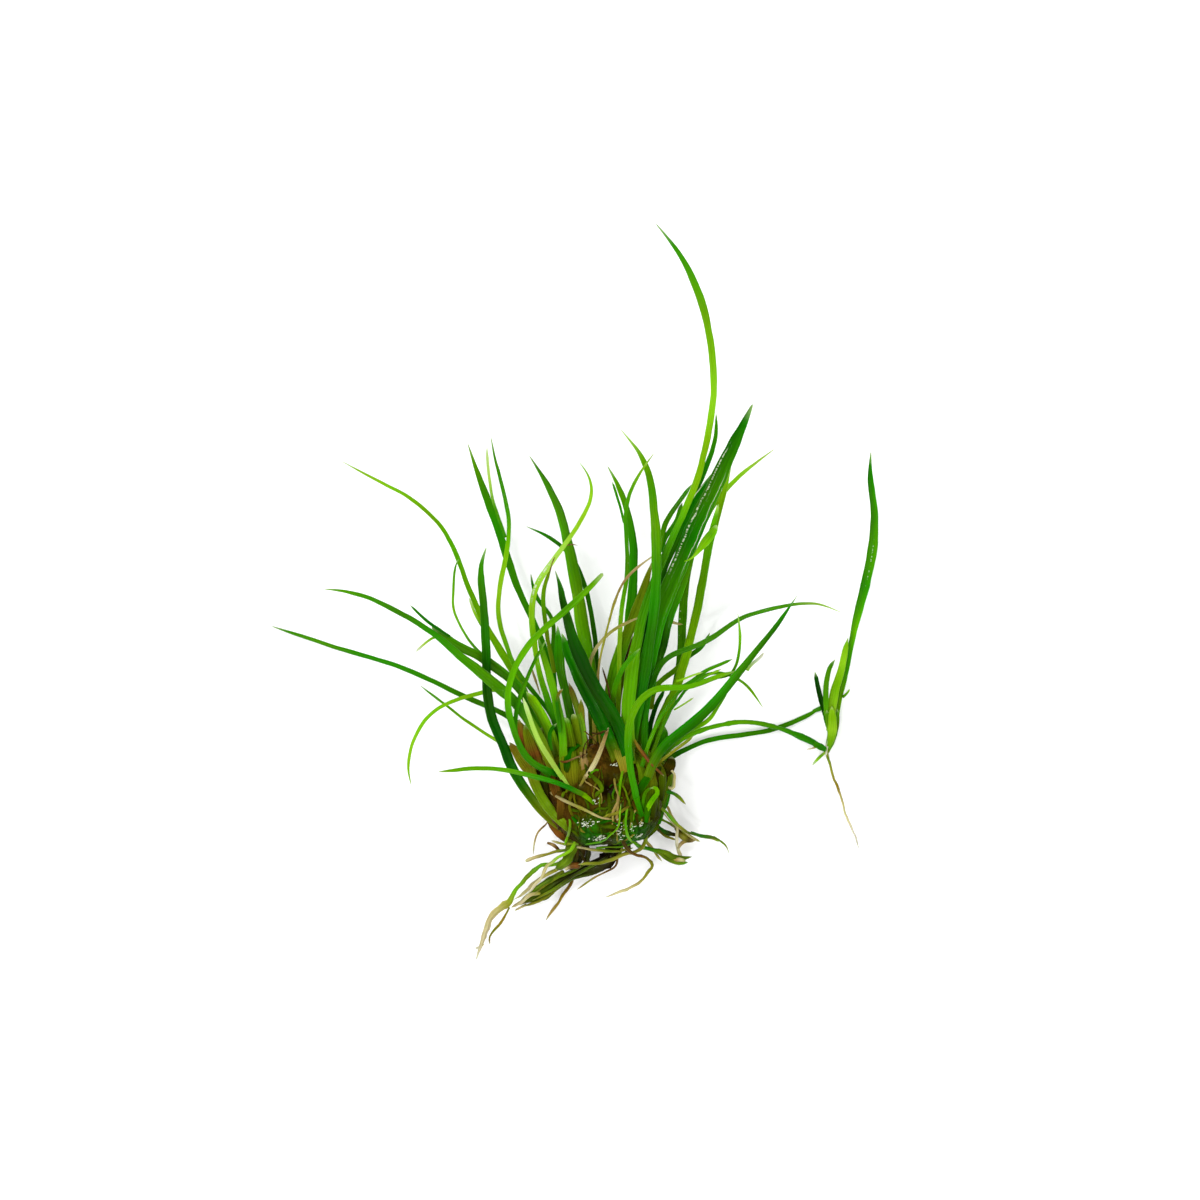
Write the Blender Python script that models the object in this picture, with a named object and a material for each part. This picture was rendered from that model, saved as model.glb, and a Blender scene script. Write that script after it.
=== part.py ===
"""A bare-root tuft of shoreweed laid on its side, modelled piece by piece.

The leaves point along +Y, the roots along -Y, and +Z is up from the surface that the tuft lies on.
The origin is on the flat underside of the crown. Routes are in millimetres and run from base to tip.
"""

import math

import bmesh
import bpy
import numpy as np

MM = 0.001

# The crown: the pressed clump that every leaf and root grows from
CROWN_CENTRE = (0.4, 0.6, 4.2)
CROWN_HALF = (7.1, 5.9, 6.7)
CROWN_SQUARENESS = 2.5  # 2 gives an ellipsoid, more gives a boxier clump
CROWN_TAPER = 0.16  # how much wider the leaf end is than the middle, and narrower the root end
CROWN_LEAN = -0.5  # how far the leaf end leans along X, and the root end the other way
CROWN_AROUND = 44
CROWN_ALONG = 16
SHEATH_COUNT = 11  # ridges of the leaf sheaths, on the half towards the leaves
SHEATH_DEPTH = 0.07  # as a share of the radius
SHEATH_START = -0.2  # the ridges rise from this share of the way towards the leaf end
CROWN_LUMPS = (
    # direction from the centre, size as a share of the radius, sharpness
    ((0.62, -0.62, 0.45), 0.14, 12.0),
    ((-0.55, -0.70, 0.30), 0.14, 10.0),
    ((0.02, -0.75, 0.66), 0.07, 16.0),
    ((0.93, 0.30, 0.15), 0.12, 22.0),
    ((-0.90, 0.10, 0.25), 0.06, 14.0),
    ((0.05, 0.80, 0.45), 0.07, 12.0),
    ((0.35, -0.15, 0.92), 0.05, 30.0),
    ((-0.35, 0.10, 0.93), 0.04, 26.0),
)

# How the pieces lie over each other
LAYER_STEP = 0.5  # height from one layer to the next, beside the crown
LAYER_FAN = 0.0125  # what each layer gains in height for each millimetre away from the crown
CROWN_REACH = 6.0  # the fan starts this far from the crown's middle
CROWN_GAP = 0.5  # every piece stops this far short of the crown
WIDTH_CLEARANCE = 0.4  # and this share of its width further, so that its edges clear the crown too

# Cross-sections: six points on an oval, which its upper and lower sides touch
LEAF_SIDES = 6
LEAF_THICKNESS = 0.40  # thickness as a share of the width
ROOT_THICKNESS = 0.85
THICKEST = 0.65
THINNEST = 0.18
OVAL_HEIGHT = 0.577  # half height of the oval for a thickness of 1: a half, over the sine of 60 degrees

# Rings along a piece
RING_SPACING = 3.4
FEWEST_RINGS = 6
MOST_RINGS = 16
TIP_SHARE = 0.10  # the last tenth of a leaf runs out to its point
POINT_SHARE = 0.25  # a pointed end keeps this much of the width
BLUNT_SHARE = 0.55  # and a broken one this much

# How finely a route is read before its rings are chosen
CURVE_STEPS = 400
PATH_STEPS = 240

# Colours as linear red, green, blue
TONES = {
    "dark": (0.004, 0.095, 0.001),
    "mid": (0.050, 0.270, 0.002),
    "bright": (0.180, 0.460, 0.006),
    "pale": (0.350, 0.520, 0.090),
    "olive": (0.120, 0.230, 0.006),
    "dry": (0.480, 0.400, 0.160),
    "root": (0.420, 0.400, 0.150),
    "root_green": (0.150, 0.220, 0.020),
    "crown": (0.090, 0.120, 0.012),
}
LEAF_ROUGHNESS = 0.32
ROOT_ROUGHNESS = 0.40
CROWN_ROUGHNESS = 0.25

# Each piece: layers at its base and tip (0 lies on the surface), widths from base to tip, colour, route
LEFT_LEAVES = {
    "leaf_left_bow": dict(
        layers=(8, 2), widths=(1.1, 1.0, 0.6, 0.45, 0.3), tone="bright",
        route=[(-4.5, 2.5), (-6.8, 7.5), (-9.3, 13.8), (-12.1, 18.3), (-15.05, 24.95),
               (-17.4, 29.9), (-19.87, 32.45), (-24.0, 34.9), (-28.3, 37.2)],
    ),
    "leaf_left_long": dict(
        layers=(18, 18), widths=(1.1, 1.15, 1.2, 1.2, 0.7, 0.6, 0.5, 0.4), tone="mid",
        route=[(-4.9, 2.6), (-8.5, 9.8), (-10.4, 11.75), (-12.2, 13.3), (-14.2, 14.98),
               (-16.2, 16.55), (-17.9, 18.02), (-20.9, 20.05), (-24.05, 21.65), (-27.5, 22.88),
               (-30.1, 23.2)],
    ),
    "leaf_left_broken": dict(
        layers=(14, 13, 12.3, 12.8, 14.6, 16), widths=(0.8, 0.9, 1, 1.05, 1, 0.8), tone="pale", blunt=True,
        route=[(-4.8, 3.4), (-6.6, 7.6), (-8.0, 11.0), (-9.6, 13.1), (-11.0, 14.2),
               (-12.3, 15.15), (-13.4, 15.9), (-14.6, 16.5), (-16.8, 17.85), (-18.3, 19.1)],
    ),
    "leaf_left_low": dict(
        layers=(10, 0), widths=(0.9, 0.6, 0.55, 0.5, 0.4), tone="dark",
        route=[(-5.0, 3.6), (-10.3, 9.3), (-14.3, 11.1), (-20.9, 14.2), (-25.8, 15.8),
               (-30.7, 17.3), (-36.05, 19.05)],
    ),
    "leaf_left_wisp": dict(
        layers=(11, 5), widths=(0.6, 0.4, 0.3, 0.28), tone="bright",
        route=[(-6.0, 3.3), (-9.0, 5.2), (-11.8, 6.8), (-16.9, 10.35), (-19.7, 12.5)],
    ),
    "leaf_left_hook": dict(
        layers=(12, 6), widths=(0.7, 0.5, 0.45, 0.4, 0.35), tone="bright",
        route=[(-5.2, 3.8), (-8.6, 9.6), (-10.3, 11.5), (-11.5, 12.1), (-12.9, 11.88),
               (-15.6, 11.1), (-18.5, 9.5), (-20.65, 6.2), (-21.1, 3.3), (-20.8, 1.7)],
    ),
    "leaf_left_blade": dict(
        layers=(9, 18), widths=(0.9, 1.1, 1.1, 1.0, 0.9, 0.6), tone="dark",
        route=[(-4.0, -3.2), (-6.1, -1.5), (-7.9, 0.7), (-9.4, 3.1), (-10.65, 5.95),
               (-11.7, 8.5), (-12.5, 15.5), (-12.9, 22.8), (-13.05, 25.5), (-12.5, 27.6)],
    ),
    "leaf_left_wave": dict(
        layers=(10, 11), widths=(0.7, 0.5, 0.5, 0.55, 0.45, 0.35), tone="bright",
        route=[(-4.2, 3.5), (-5.1, 8.7), (-8.85, 13.9), (-10.55, 17.7), (-11.15, 20.6),
               (-11.03, 23.2), (-10.52, 26.0), (-9.97, 30.1), (-10.4, 33.0), (-11.35, 36.8),
               (-11.95, 39.75)],
    ),
    "leaf_left_upright": dict(
        layers=(5, 3), widths=(0.8, 0.6, 0.6, 0.85, 0.9, 0.4), tone="dark",
        route=[(-3.6, 3.5), (-5.0, 12.0), (-6.6, 18.1), (-8.75, 22.6), (-10.75, 28.4),
               (-13.05, 34.8), (-14.55, 39.15)],
    ),
    "leaf_back_tall": dict(
        layers=(6, 8), widths=(1.3, 1.35, 1.45, 1.3, 0.9, 0.4), tone="mid",
        route=[(-0.6, 5.0), (-0.9, 13.0), (-1.7, 17.9), (-2.7, 24.0), (-3.75, 29.2),
               (-5.1, 33.3), (-7.7, 37.75)],
    ),
    "leaf_swan_neck": dict(
        layers=(13, 14), widths=(0.6, 0.75, 0.6, 0.7, 0.6, 0.45, 0.35), tone="bright",
        route=[(-4.0, 3.5), (-4.7, 7.5), (-6.2, 12.4), (-7.3, 17.7), (-7.1, 23.0),
               (-5.42, 25.98), (-2.6, 29.9), (-0.96, 33.9), (-1.42, 35.9), (-2.15, 36.95)],
    ),
    "leaf_back_hooked": dict(
        layers=(4, 5), widths=(0.6, 0.55, 0.55, 0.5, 0.35), tone="dark",
        route=[(-0.2, 5.0), (-0.3, 13.5), (-0.8, 19.5), (-1.5, 23.0), (-3.4, 27.0),
               (-5.45, 28.8), (-8.0, 30.05)],
    ),
    "leaf_front_cross": dict(
        layers=(19.5, 22, 21.5, 20.5, 20), widths=(0.7, 0.7, 0.7, 0.7, 0.65), tone="mid", blunt=True,
        route=[(-4.4, 2.8), (-7.9, 4.6), (-9.6, 8.3), (-10.15, 11.2), (-9.45, 14.2),
               (-6.65, 18.35), (-3.3, 21.25), (0.22, 24.8)],
    ),
    "leaf_front_cross_mate": dict(
        layers=(17.5, 20, 19, 18), widths=(0.5, 0.5, 0.45, 0.35), tone="bright",
        route=[(-4.8, 2.2), (-7.4, 4.3), (-9.1, 6.8), (-9.1, 10.0), (-8.0, 13.5), (-6.0, 17.5)],
    ),
    "leaf_front_dark": dict(
        layers=(19, 18), widths=(1.3, 1.4, 1.4, 1.45, 1.45, 1.15, 0.75, 0.4), tone="dark",
        route=[(3.2, 4.3), (2.0, 8.2), (-0.15, 11.8), (-2.3, 16.0), (-3.08, 18.0),
               (-3.6, 20.0), (-3.97, 21.6), (-4.3, 23.2), (-4.87, 25.1)],
    ),
    "leaf_front_short": dict(
        layers=(16, 15), widths=(1.2, 1.5, 1.5, 0.8), tone="dark",
        route=[(2.0, 4.0), (1.1, 6.5), (-0.8, 10.6), (-2.65, 14.3), (-4.15, 18.2)],
    ),
    "leaf_olive": dict(
        layers=(11, 11), widths=(1.1, 1.05, 0.95, 1, 1.05, 0.7), tone="olive",
        route=[(-2.7, 3.5), (-2.95, 7.6), (-3.85, 12.1), (-4.38, 14.6), (-4.53, 17.0),
               (-4.65, 19.0)],
    ),
    "leaf_front_bright": dict(
        layers=(17, 17), widths=(0.9, 0.9, 0.9, 0.5), tone="bright",
        route=[(-4.0, 3.2), (-4.35, 8.8), (-5.45, 13.3), (-6.8, 17.8)],
    ),
    "leaf_sheath_olive": dict(
        layers=(15, 15), widths=(1.1, 1.2, 0.9), tone="olive",
        route=[(-4.5, 3.5), (-6.05, 8.65), (-8.0, 11.8)],
    ),
    "leaf_front_pale": dict(
        layers=(19, 23, 22), widths=(0.55, 0.55, 0.5), tone="pale",
        route=[(-3.6, 1.7), (-5.75, 4.9), (-7.3, 8.0), (-8.4, 11.2)],
    ),
    "leaf_side_thread": dict(
        layers=(20, 24, 20, 15, 10), widths=(0.55, 0.55, 0.5, 0.4), tone="bright",
        route=[(-1.1, 0.3), (-4.8, 1.95), (-8.9, 3.05), (-12.4, 3.5), (-17.7, 3.1)],
    ),
    "leaf_olive_strip": dict(
        layers=(11, 16, 15, 9), widths=(1.0, 1.1, 1.1, 0.8), tone="olive",
        route=[(-3.2, -3.2), (-5.3, -1.25), (-7.1, 1.8), (-8.2, 6.0)],
    ),
}

RIGHT_LEAVES = {
    "leaf_tallest": dict(
        layers=(17, 18), widths=(1.5, 1.5, 0.9, 0.72, 0.72, 0.75, 0.88, 0.5), tone="bright",
        route=[(3.2, 4.0), (3.0, 8.0), (3.3, 12.5), (4.9, 21.0), (7.1, 26.95), (10.45, 34.75),
               (11.87, 40.3), (12.43, 46.5), (11.5, 53.0), (9.33, 58.7), (6.2, 62.95)],
    ),
    "leaf_broad": dict(
        layers=(13, 14), widths=(1.2, 1.5, 1.8, 1.9, 2, 1.6, 0.95), tone="dark",
        route=[(4.0, 3.5), (4.3, 8.0), (4.9, 13.2), (6.45, 20.1), (8.75, 26.05), (11.9, 33.1),
               (15.15, 40.05), (16.65, 43.3)],
    ),
    "leaf_broad_shaded": dict(
        layers=(11, 11), widths=(1.2, 1.3, 1.3, 1), tone="dark",
        route=[(3.4, 4.0), (3.9, 9.0), (4.8, 15.2), (6.35, 24.1), (9.3, 30.65), (12.6, 36.1)],
    ),
    "leaf_right_kinked": dict(
        layers=(5, 6), widths=(0.9, 0.95, 1, 0.85, 0.55, 0.35), tone="mid",
        route=[(4.9, 3.8), (6.1, 7.0), (7.05, 9.0), (7.95, 11.0), (9.0, 17.3), (9.6, 25.0),
               (11.3, 30.3), (13.5, 33.75), (16.45, 36.55), (19.05, 38.5)],
    ),
    "leaf_right_straight": dict(
        layers=(8, 8), widths=(1, 1, 0.95, 0.92, 0.85, 0.5), tone="mid",
        route=[(4.8, 3.5), (6.7, 8.8), (8.65, 13.0), (9.2, 15.0), (10.62, 20.5), (11.85, 27.3),
               (13.15, 32.2), (14.4, 36.8)],
    ),
    "leaf_middle_curl": dict(
        layers=(15.3, 15.6, 19.5, 19.7, 17.5, 15), widths=(1, 1.05, 1.1, 1.1, 1.15, 0.78, 0.3), tone="mid",
        route=[(3.0, 4.0), (4.8, 13.0), (5.8, 20.0), (6.2, 26.7), (5.9, 31.8), (5.1, 36.5),
               (2.35, 40.6)],
    ),
    "leaf_middle_wave": dict(
        layers=(12, 12, 12.5, 15.5, 19.5), widths=(0.6, 0.5, 0.5, 0.45, 0.35), tone="mid",
        route=[(1.6, 4.6), (2.1, 13.0), (2.35, 20.5), (2.93, 24.75), (2.93, 28.0),
               (3.15, 33.35), (5.8, 37.9)],
    ),
    "leaf_middle_dark": dict(
        layers=(7, 6), widths=(1, 1, 1.1, 0.85, 0.5), tone="dark",
        route=[(1.2, 4.6), (2.0, 12.0), (3.45, 21.5), (3.4, 29.9), (2.3, 33.9), (0.9, 36.6)],
    ),
    "leaf_yellow": dict(
        layers=(10, 10), widths=(1.1, 1.35, 1.35, 1.1, 0.6), tone="olive",
        route=[(0.6, 4.6), (0.95, 10.5), (1.75, 14.6), (2.75, 17.55), (4.22, 21.5),
               (5.75, 26.2)],
    ),
    "leaf_yellow_short": dict(
        layers=(13.5, 14, 15.5, 19.3, 20), widths=(0.7, 0.6, 0.5), tone="olive",
        route=[(1.5, 4.5), (1.6, 12.0), (3.0, 15.2), (4.3, 16.6)],
    ),
    "leaf_arch": dict(
        layers=(19, 24, 24, 22.5, 21), widths=(0.7, 0.8, 0.8, 0.6, 0.5), tone="bright",
        route=[(4.2, -0.7), (3.3, 3.9), (3.1, 6.7), (3.4, 9.1), (4.65, 11.25), (6.7, 12.35),
               (9.3, 12.4), (12.35, 13.45), (14.9, 14.2)],
    ),
    "leaf_arch_mate": dict(
        layers=(18, 17), widths=(0.5, 0.35, 0.35, 0.3), tone="bright",
        route=[(4.4, 3.0), (7.5, 10.5), (9.5, 12.6), (12.9, 14.0), (15.2, 13.3), (17.8, 10.3)],
    ),
    "leaf_right_reach": dict(
        layers=(15, 14), widths=(0.7, 0.6, 0.6, 0.45, 0.25), tone="mid",
        route=[(5.0, 3.9), (5.6, 12.5), (7.2, 15.4), (11.35, 17.35), (15.2, 19.78),
               (20.15, 21.33), (24.05, 21.5), (26.3, 20.7)],
    ),
    "leaf_right_dark": dict(
        layers=(18, 25), widths=(0.9, 1.1, 1.1, 0.85, 0.6, 0.3), tone="dark",
        route=[(5.0, 1.8), (7.0, 5.9), (10.55, 8.8), (14.8, 13.6), (18.35, 17.95),
               (19.9, 20.1), (21.45, 22.35)],
    ),
    "leaf_beside_runner": dict(
        layers=(2, 0), widths=(0.6, 0.55, 0.55, 0.5), tone="dark",
        route=[(5.0, 2.6), (8.25, 4.9), (12.15, 6.55), (18.0, 7.5), (21.95, 8.8), (24.65, 10.3)],
    ),
    "leaf_right_spike": dict(
        layers=(16, 21), widths=(0.45, 0.33, 0.33, 0.3), tone="mid",
        route=[(5.2, 3.4), (6.9, 8.2), (7.8, 10.0), (8.6, 11.05), (9.4, 12.1), (10.4, 12.75),
               (12.6, 13.45), (14.3, 13.95), (15.15, 15.75), (15.35, 18.05), (15.1, 20.4)],
    ),
}

RUNNER = {
    "runner": dict(
        layers=(4, 1), widths=(0.6, 0.55, 0.55, 0.5, 0.85), tone="mid", blunt=True,
        route=[(5.0, 3.0), (6.2, 4.2), (9.0, 6.6), (12.1, 7.95), (16.6, 8.5), (19.85, 7.85),
               (22.5, 6.8), (23.8, 6.12), (24.45, 5.75)],
    ),
}

PLANTLET = {
    "plantlet_base": dict(
        layers=(0, 0), widths=(0.45, 0.9, 1.1, 1.45), tone="bright", blunt=True,
        route=[(25.05, 5.2), (25.22, 5.8), (25.62, 7.1), (25.68, 8.45)],
    ),
    "plantlet_leaf_tall": dict(
        layers=(0.6, 2.5), widths=(0.55, 0.55, 0.75, 1.1, 1.05, 0.75, 0.5), tone="mid",
        route=[(26.1, 9.1), (26.45, 11.15), (27.12, 13.9), (27.9, 18.3), (28.97, 22.5),
               (30.2, 29.45), (30.25, 31.55), (29.75, 36.1), (29.85, 38.2)],
    ),
    "plantlet_leaf_sheath": dict(
        layers=(1.8, 3), widths=(0.85, 1, 0.85, 0.5), tone="bright",
        route=[(25.35, 7.6), (25.45, 9.5), (25.72, 11.15), (26.0, 12.3), (26.5, 13.9),
               (26.9, 16.0), (27.3, 17.7)],
    ),
    "plantlet_leaf_short": dict(
        layers=(2.9, 5), widths=(0.5, 0.6, 0.6, 0.45), tone="mid",
        route=[(24.95, 9.3), (24.9, 10.4), (24.93, 12.3), (25.06, 13.6), (25.3, 14.5),
               (25.82, 15.35)],
    ),
    "plantlet_leaf_dark": dict(
        layers=(0, 3), widths=(0.55, 0.6, 0.45), tone="dark",
        route=[(24.85, 9.3), (24.3, 11.35), (23.7, 14.0)],
    ),
    "plantlet_root": dict(
        layers=(0, 0), widths=(0.3, 0.25, 0.2), tone="root", round=True,
        route=[(25.1, 4.7), (25.6, 3.1), (26.1, 1.5), (26.55, 0.35), (26.95, -0.95),
               (27.35, -2.4), (28.15, -4.0), (28.5, -5.3)],
    ),
}

DRY_LEAVES = {
    "dry_thread": dict(
        layers=(13.5, 15.5, 16.5, 16.5), widths=(0.3, 0.25), tone="dry",
        route=[(0.2, 5.0), (-0.3, 10.0), (-0.15, 14.2), (1.1, 20.1), (3.1, 24.6), (6.1, 27.0)],
    ),
    "dry_leaf_curled": dict(
        layers=(13, 14.5, 14.5), widths=(0.4, 0.3), tone="dry",
        route=[(-0.5, 5.0), (-0.9, 11.0), (-1.05, 15.1), (1.45, 18.7), (4.55, 20.15)],
    ),
    "dry_leaf_golden": dict(
        layers=(14, 13), widths=(0.8, 0.8, 0.6), tone="dry",
        route=[(-1.9, 3.0), (-1.75, 5.0), (-2.0, 8.0), (-3.4, 12.8)],
    ),
    "dry_stick": dict(
        layers=(19, 21, 19), widths=(0.4, 0.45, 0.4), tone="dry", blunt=True,
        route=[(-1.95, 2.05), (-0.4, 4.5), (0.9, 7.9)],
    ),
}

ROOTS = {
    "root_main": dict(
        layers=(9, 0), widths=(0.4, 0.4, 0.45, 0.5, 0.5, 0.85, 0.7, 0.55, 0.35), tone="root",
        route=[(-2.8, -4.4), (-3.7, -6.3), (-4.9, -7.15), (-6.1, -7.15), (-6.9, -7.45),
               (-7.75, -8.2), (-8.75, -9.35), (-9.55, -10.4), (-10.1, -11.3), (-11.0, -12.0),
               (-11.75, -12.65), (-12.3, -13.6), (-12.65, -14.5), (-12.9, -15.4),
               (-13.3, -16.6), (-13.65, -17.6)],
    ),
    "root_left_upper": dict(
        layers=(12, 5), widths=(0.4, 0.35, 0.3), tone="root_green",
        route=[(-2.2, -3.6), (-3.7, -5.85), (-4.5, -6.25), (-5.3, -6.85), (-5.9, -7.4),
               (-6.3, -8.2), (-6.95, -9.15), (-7.95, -10.35)],
    ),
    "root_left_lower": dict(
        layers=(8, 2), widths=(0.4, 0.45, 0.4, 0.3), tone="root_green",
        route=[(-1.5, -3.9), (-3.6, -6.6), (-4.4, -7.4), (-5.05, -7.8), (-5.85, -8.15),
               (-6.5, -8.65), (-7.7, -9.65), (-8.6, -10.4), (-9.4, -11.0)],
    ),
    "root_bundle": dict(
        layers=(5, 0), widths=(1.2, 1.6, 1.7, 1.2, 1.15, 1.4, 1.1, 0.5), tone="root_green",
        route=[(1.6, -4.2), (1.3, -6.0), (0.2, -7.1), (-2.3, -7.8), (-3.75, -8.65),
               (-5.1, -9.35), (-6.4, -10.35), (-7.7, -10.95), (-8.8, -11.6)],
    ),
    "root_low": dict(
        layers=(2, 0), widths=(0.3, 0.25, 0.4, 0.25), tone="root_green",
        route=[(-1.0, -4.4), (-3.05, -8.8), (-4.1, -10.7), (-5.2, -12.1), (-5.95, -13.3)],
    ),
    "root_under": dict(
        layers=(11, 8), widths=(0.4, 0.4, 0.35), tone="root_green",
        route=[(5.1, -3.9), (4.6, -5.3), (3.5, -5.8), (2.2, -6.1), (1.5, -6.5), (0.2, -6.9),
               (-1.1, -6.97), (-2.3, -7.1)],
    ),
    "root_curl": dict(
        layers=(15, 4), widths=(0.4, 0.35, 0.35, 0.3), tone="root",
        route=[(2.3, -3.9), (3.6, -5.9), (5.1, -6.35), (5.8, -7.1), (5.4, -7.9), (4.4, -8.95),
               (3.1, -9.8), (1.3, -10.5), (0.55, -10.75)],
    ),
    "root_right_upper": dict(
        layers=(13, 2), widths=(0.4, 0.35, 0.3, 0.2), tone="root",
        route=[(5.9, -0.2), (7.1, -1.2), (8.2, -2.4), (9.3, -3.35), (10.3, -3.8),
               (11.3, -4.05), (12.4, -4.1), (13.3, -4.55), (13.9, -5.1), (14.2, -5.9)],
    ),
    "root_right_drooping": dict(
        layers=(10, 1), widths=(0.3, 0.3, 0.25, 0.35, 0.45, 0.3), tone="root",
        route=[(6.2, 0.4), (7.4, -0.7), (7.9, -1.7), (8.35, -2.75), (8.55, -3.5), (8.48, -4.5),
               (8.65, -5.6), (8.9, -6.4), (9.05, -7.15)],
    ),
    "root_right_lower": dict(
        layers=(9, 4), widths=(0.4, 0.4, 0.45, 0.7, 0.7, 0.4), tone="root_green",
        route=[(3.0, -3.6), (4.1, -4.95), (5.5, -5.4), (6.6, -5.75), (7.6, -6.15), (8.8, -6.4),
               (10.1, -6.3)],
    ),
}


def clear_scene():
    for old in list(bpy.data.objects):
        bpy.data.objects.remove(old)


def material(name, tone, roughness):
    made = bpy.data.materials.new(name)
    made.use_nodes = True
    shader = made.node_tree.nodes["Principled BSDF"]
    shader.inputs["Base Color"].default_value = (*TONES[tone], 1.0)
    shader.inputs["Roughness"].default_value = roughness
    shader.inputs["Metallic"].default_value = 0.0
    made.diffuse_color = (*TONES[tone], 1.0)
    return made


def add_object(name, points, faces, tone, roughness):
    """Puts points, in millimetres, and faces into one closed mesh object whose faces point out."""
    mesh = bpy.data.meshes.new(name)
    mesh.from_pydata([tuple(point) for point in np.asarray(points) * MM], [], faces)
    shape = bmesh.new()
    shape.from_mesh(mesh)
    bmesh.ops.recalc_face_normals(shape, faces=shape.faces)
    shape.to_mesh(mesh)
    shape.free()
    mesh.shade_smooth()
    mesh.materials.append(material(name + "_finish", tone, roughness))
    made = bpy.data.objects.new(name, mesh)
    bpy.context.scene.collection.objects.link(made)
    return made


def smooth_curve(points, count):
    """Reads count evenly spaced points from the natural cubic spline through the given ones."""
    points = np.asarray(points, float)
    knots = np.concatenate([[0.0], np.cumsum(np.linalg.norm(np.diff(points, axis=0), axis=1))])
    steps = np.diff(knots)
    size = len(points)
    system = np.eye(size)
    right = np.zeros_like(points)
    for i in range(1, size - 1):
        system[i, i - 1:i + 2] = steps[i - 1], 2.0 * (steps[i - 1] + steps[i]), steps[i]
        after = (points[i + 1] - points[i]) / steps[i]
        before = (points[i] - points[i - 1]) / steps[i - 1]
        right[i] = 3.0 * (after - before)
    bend = np.linalg.solve(system, right)

    def at(where):
        span = np.clip(np.searchsorted(knots, where, side="right") - 1, 0, size - 2)
        step = steps[span][:, None]
        along = (where - knots[span])[:, None]
        slope = (points[span + 1] - points[span]) / step - step * (2.0 * bend[span] + bend[span + 1]) / 3.0
        cubic = (bend[span + 1] - bend[span]) / (3.0 * step)
        return points[span] + slope * along + bend[span] * along**2 + cubic * along**3

    fine = at(np.linspace(0.0, knots[-1], CURVE_STEPS))
    travelled = np.concatenate([[0.0], np.cumsum(np.linalg.norm(np.diff(fine, axis=0), axis=1))])
    wanted = np.linspace(0.0, travelled[-1], count)
    return np.stack([np.interp(wanted, travelled, fine[:, axis]) for axis in range(fine.shape[1])], axis=1)


def crown_radius(direction):
    """The crown's surface as a multiple of its half sizes, in the given unit directions."""
    boxy = (np.abs(direction) ** CROWN_SQUARENESS).sum(axis=-1) ** (-1.0 / CROWN_SQUARENESS)
    around = np.arctan2(direction[..., 2], direction[..., 0])
    upper = np.clip(direction[..., 1] - SHEATH_START, 0.0, 1.0)
    radius = boxy * (1.0 + SHEATH_DEPTH * upper * np.cos(SHEATH_COUNT * around))
    for lump, size, sharpness in CROWN_LUMPS:
        towards = np.asarray(lump) / np.linalg.norm(lump)
        radius = radius + size * np.exp(sharpness * (direction @ towards - 1.0))
    return radius


def crown_slice(rise):
    """The crown's middle and half sizes at each height towards the leaves, from -1 at the roots to 1."""
    rise = np.clip(rise, -1.0, 1.0)
    middle = np.multiply.outer(np.ones_like(rise), CROWN_CENTRE)
    middle[..., 0] += CROWN_LEAN * rise
    half = np.multiply.outer(np.ones_like(rise), CROWN_HALF)
    half[..., 0] *= 1.0 + CROWN_TAPER * rise
    return middle, half


def outside_crown(points):
    """How far each point lies outside the crown, in millimetres measured towards its centre."""
    middle, half = crown_slice((points[..., 1] - CROWN_CENTRE[1]) / CROWN_HALF[1])
    from_centre = (points - middle) / half
    reach = np.linalg.norm(from_centre, axis=-1)
    share = 1.0 - crown_radius(from_centre / reach[..., None]) / reach
    return share * np.linalg.norm(points - middle, axis=-1)


def make_crown():
    """A boxy lumpy clump with sheath ridges towards the leaves, pressed flat where it lies."""
    around = np.linspace(0.0, 2.0 * math.pi, CROWN_AROUND, endpoint=False)
    along = np.linspace(-0.5 * math.pi, 0.5 * math.pi, CROWN_ALONG + 1)[1:-1]
    turn, rise = np.meshgrid(around, along)
    rings = np.stack([np.cos(rise) * np.cos(turn), np.sin(rise), np.cos(rise) * np.sin(turn)], axis=-1)
    directions = np.concatenate([rings.reshape(-1, 3), [(0.0, -1.0, 0.0), (0.0, 1.0, 0.0)]])
    scaled = directions * crown_radius(directions)[:, None]
    middle, half = crown_slice(scaled[:, 1])
    points = middle + half * scaled
    points[:, 2] = np.maximum(points[:, 2], 0.0)
    lower_pole = len(points) - 2
    upper_pole = len(points) - 1
    faces = []
    for i in range(CROWN_AROUND):
        nxt = (i + 1) % CROWN_AROUND
        for ring in range(len(along) - 1):
            low = ring * CROWN_AROUND
            high = low + CROWN_AROUND
            faces.append((low + i, low + nxt, high + nxt, high + i))
        faces.append((lower_pole, nxt, i))
        top = (len(along) - 1) * CROWN_AROUND
        faces.append((upper_pole, top + i, top + nxt))
    return add_object("crown", points, faces, "crown", CROWN_ROUGHNESS)


def width_along(widths, share, blunt):
    """The width at each share of the length: the given widths, evenly spaced, and the way out to the tip."""
    plain = np.interp(share, np.linspace(0.0, 1.0, len(widths)), widths)
    left = np.clip((1.0 - share) / TIP_SHARE, 0.0, 1.0)
    if blunt:
        return plain * (BLUNT_SHARE + (1.0 - BLUNT_SHARE) * np.sqrt(left))
    return plain * (POINT_SHARE + (1.0 - POINT_SHARE) * left)


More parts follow.
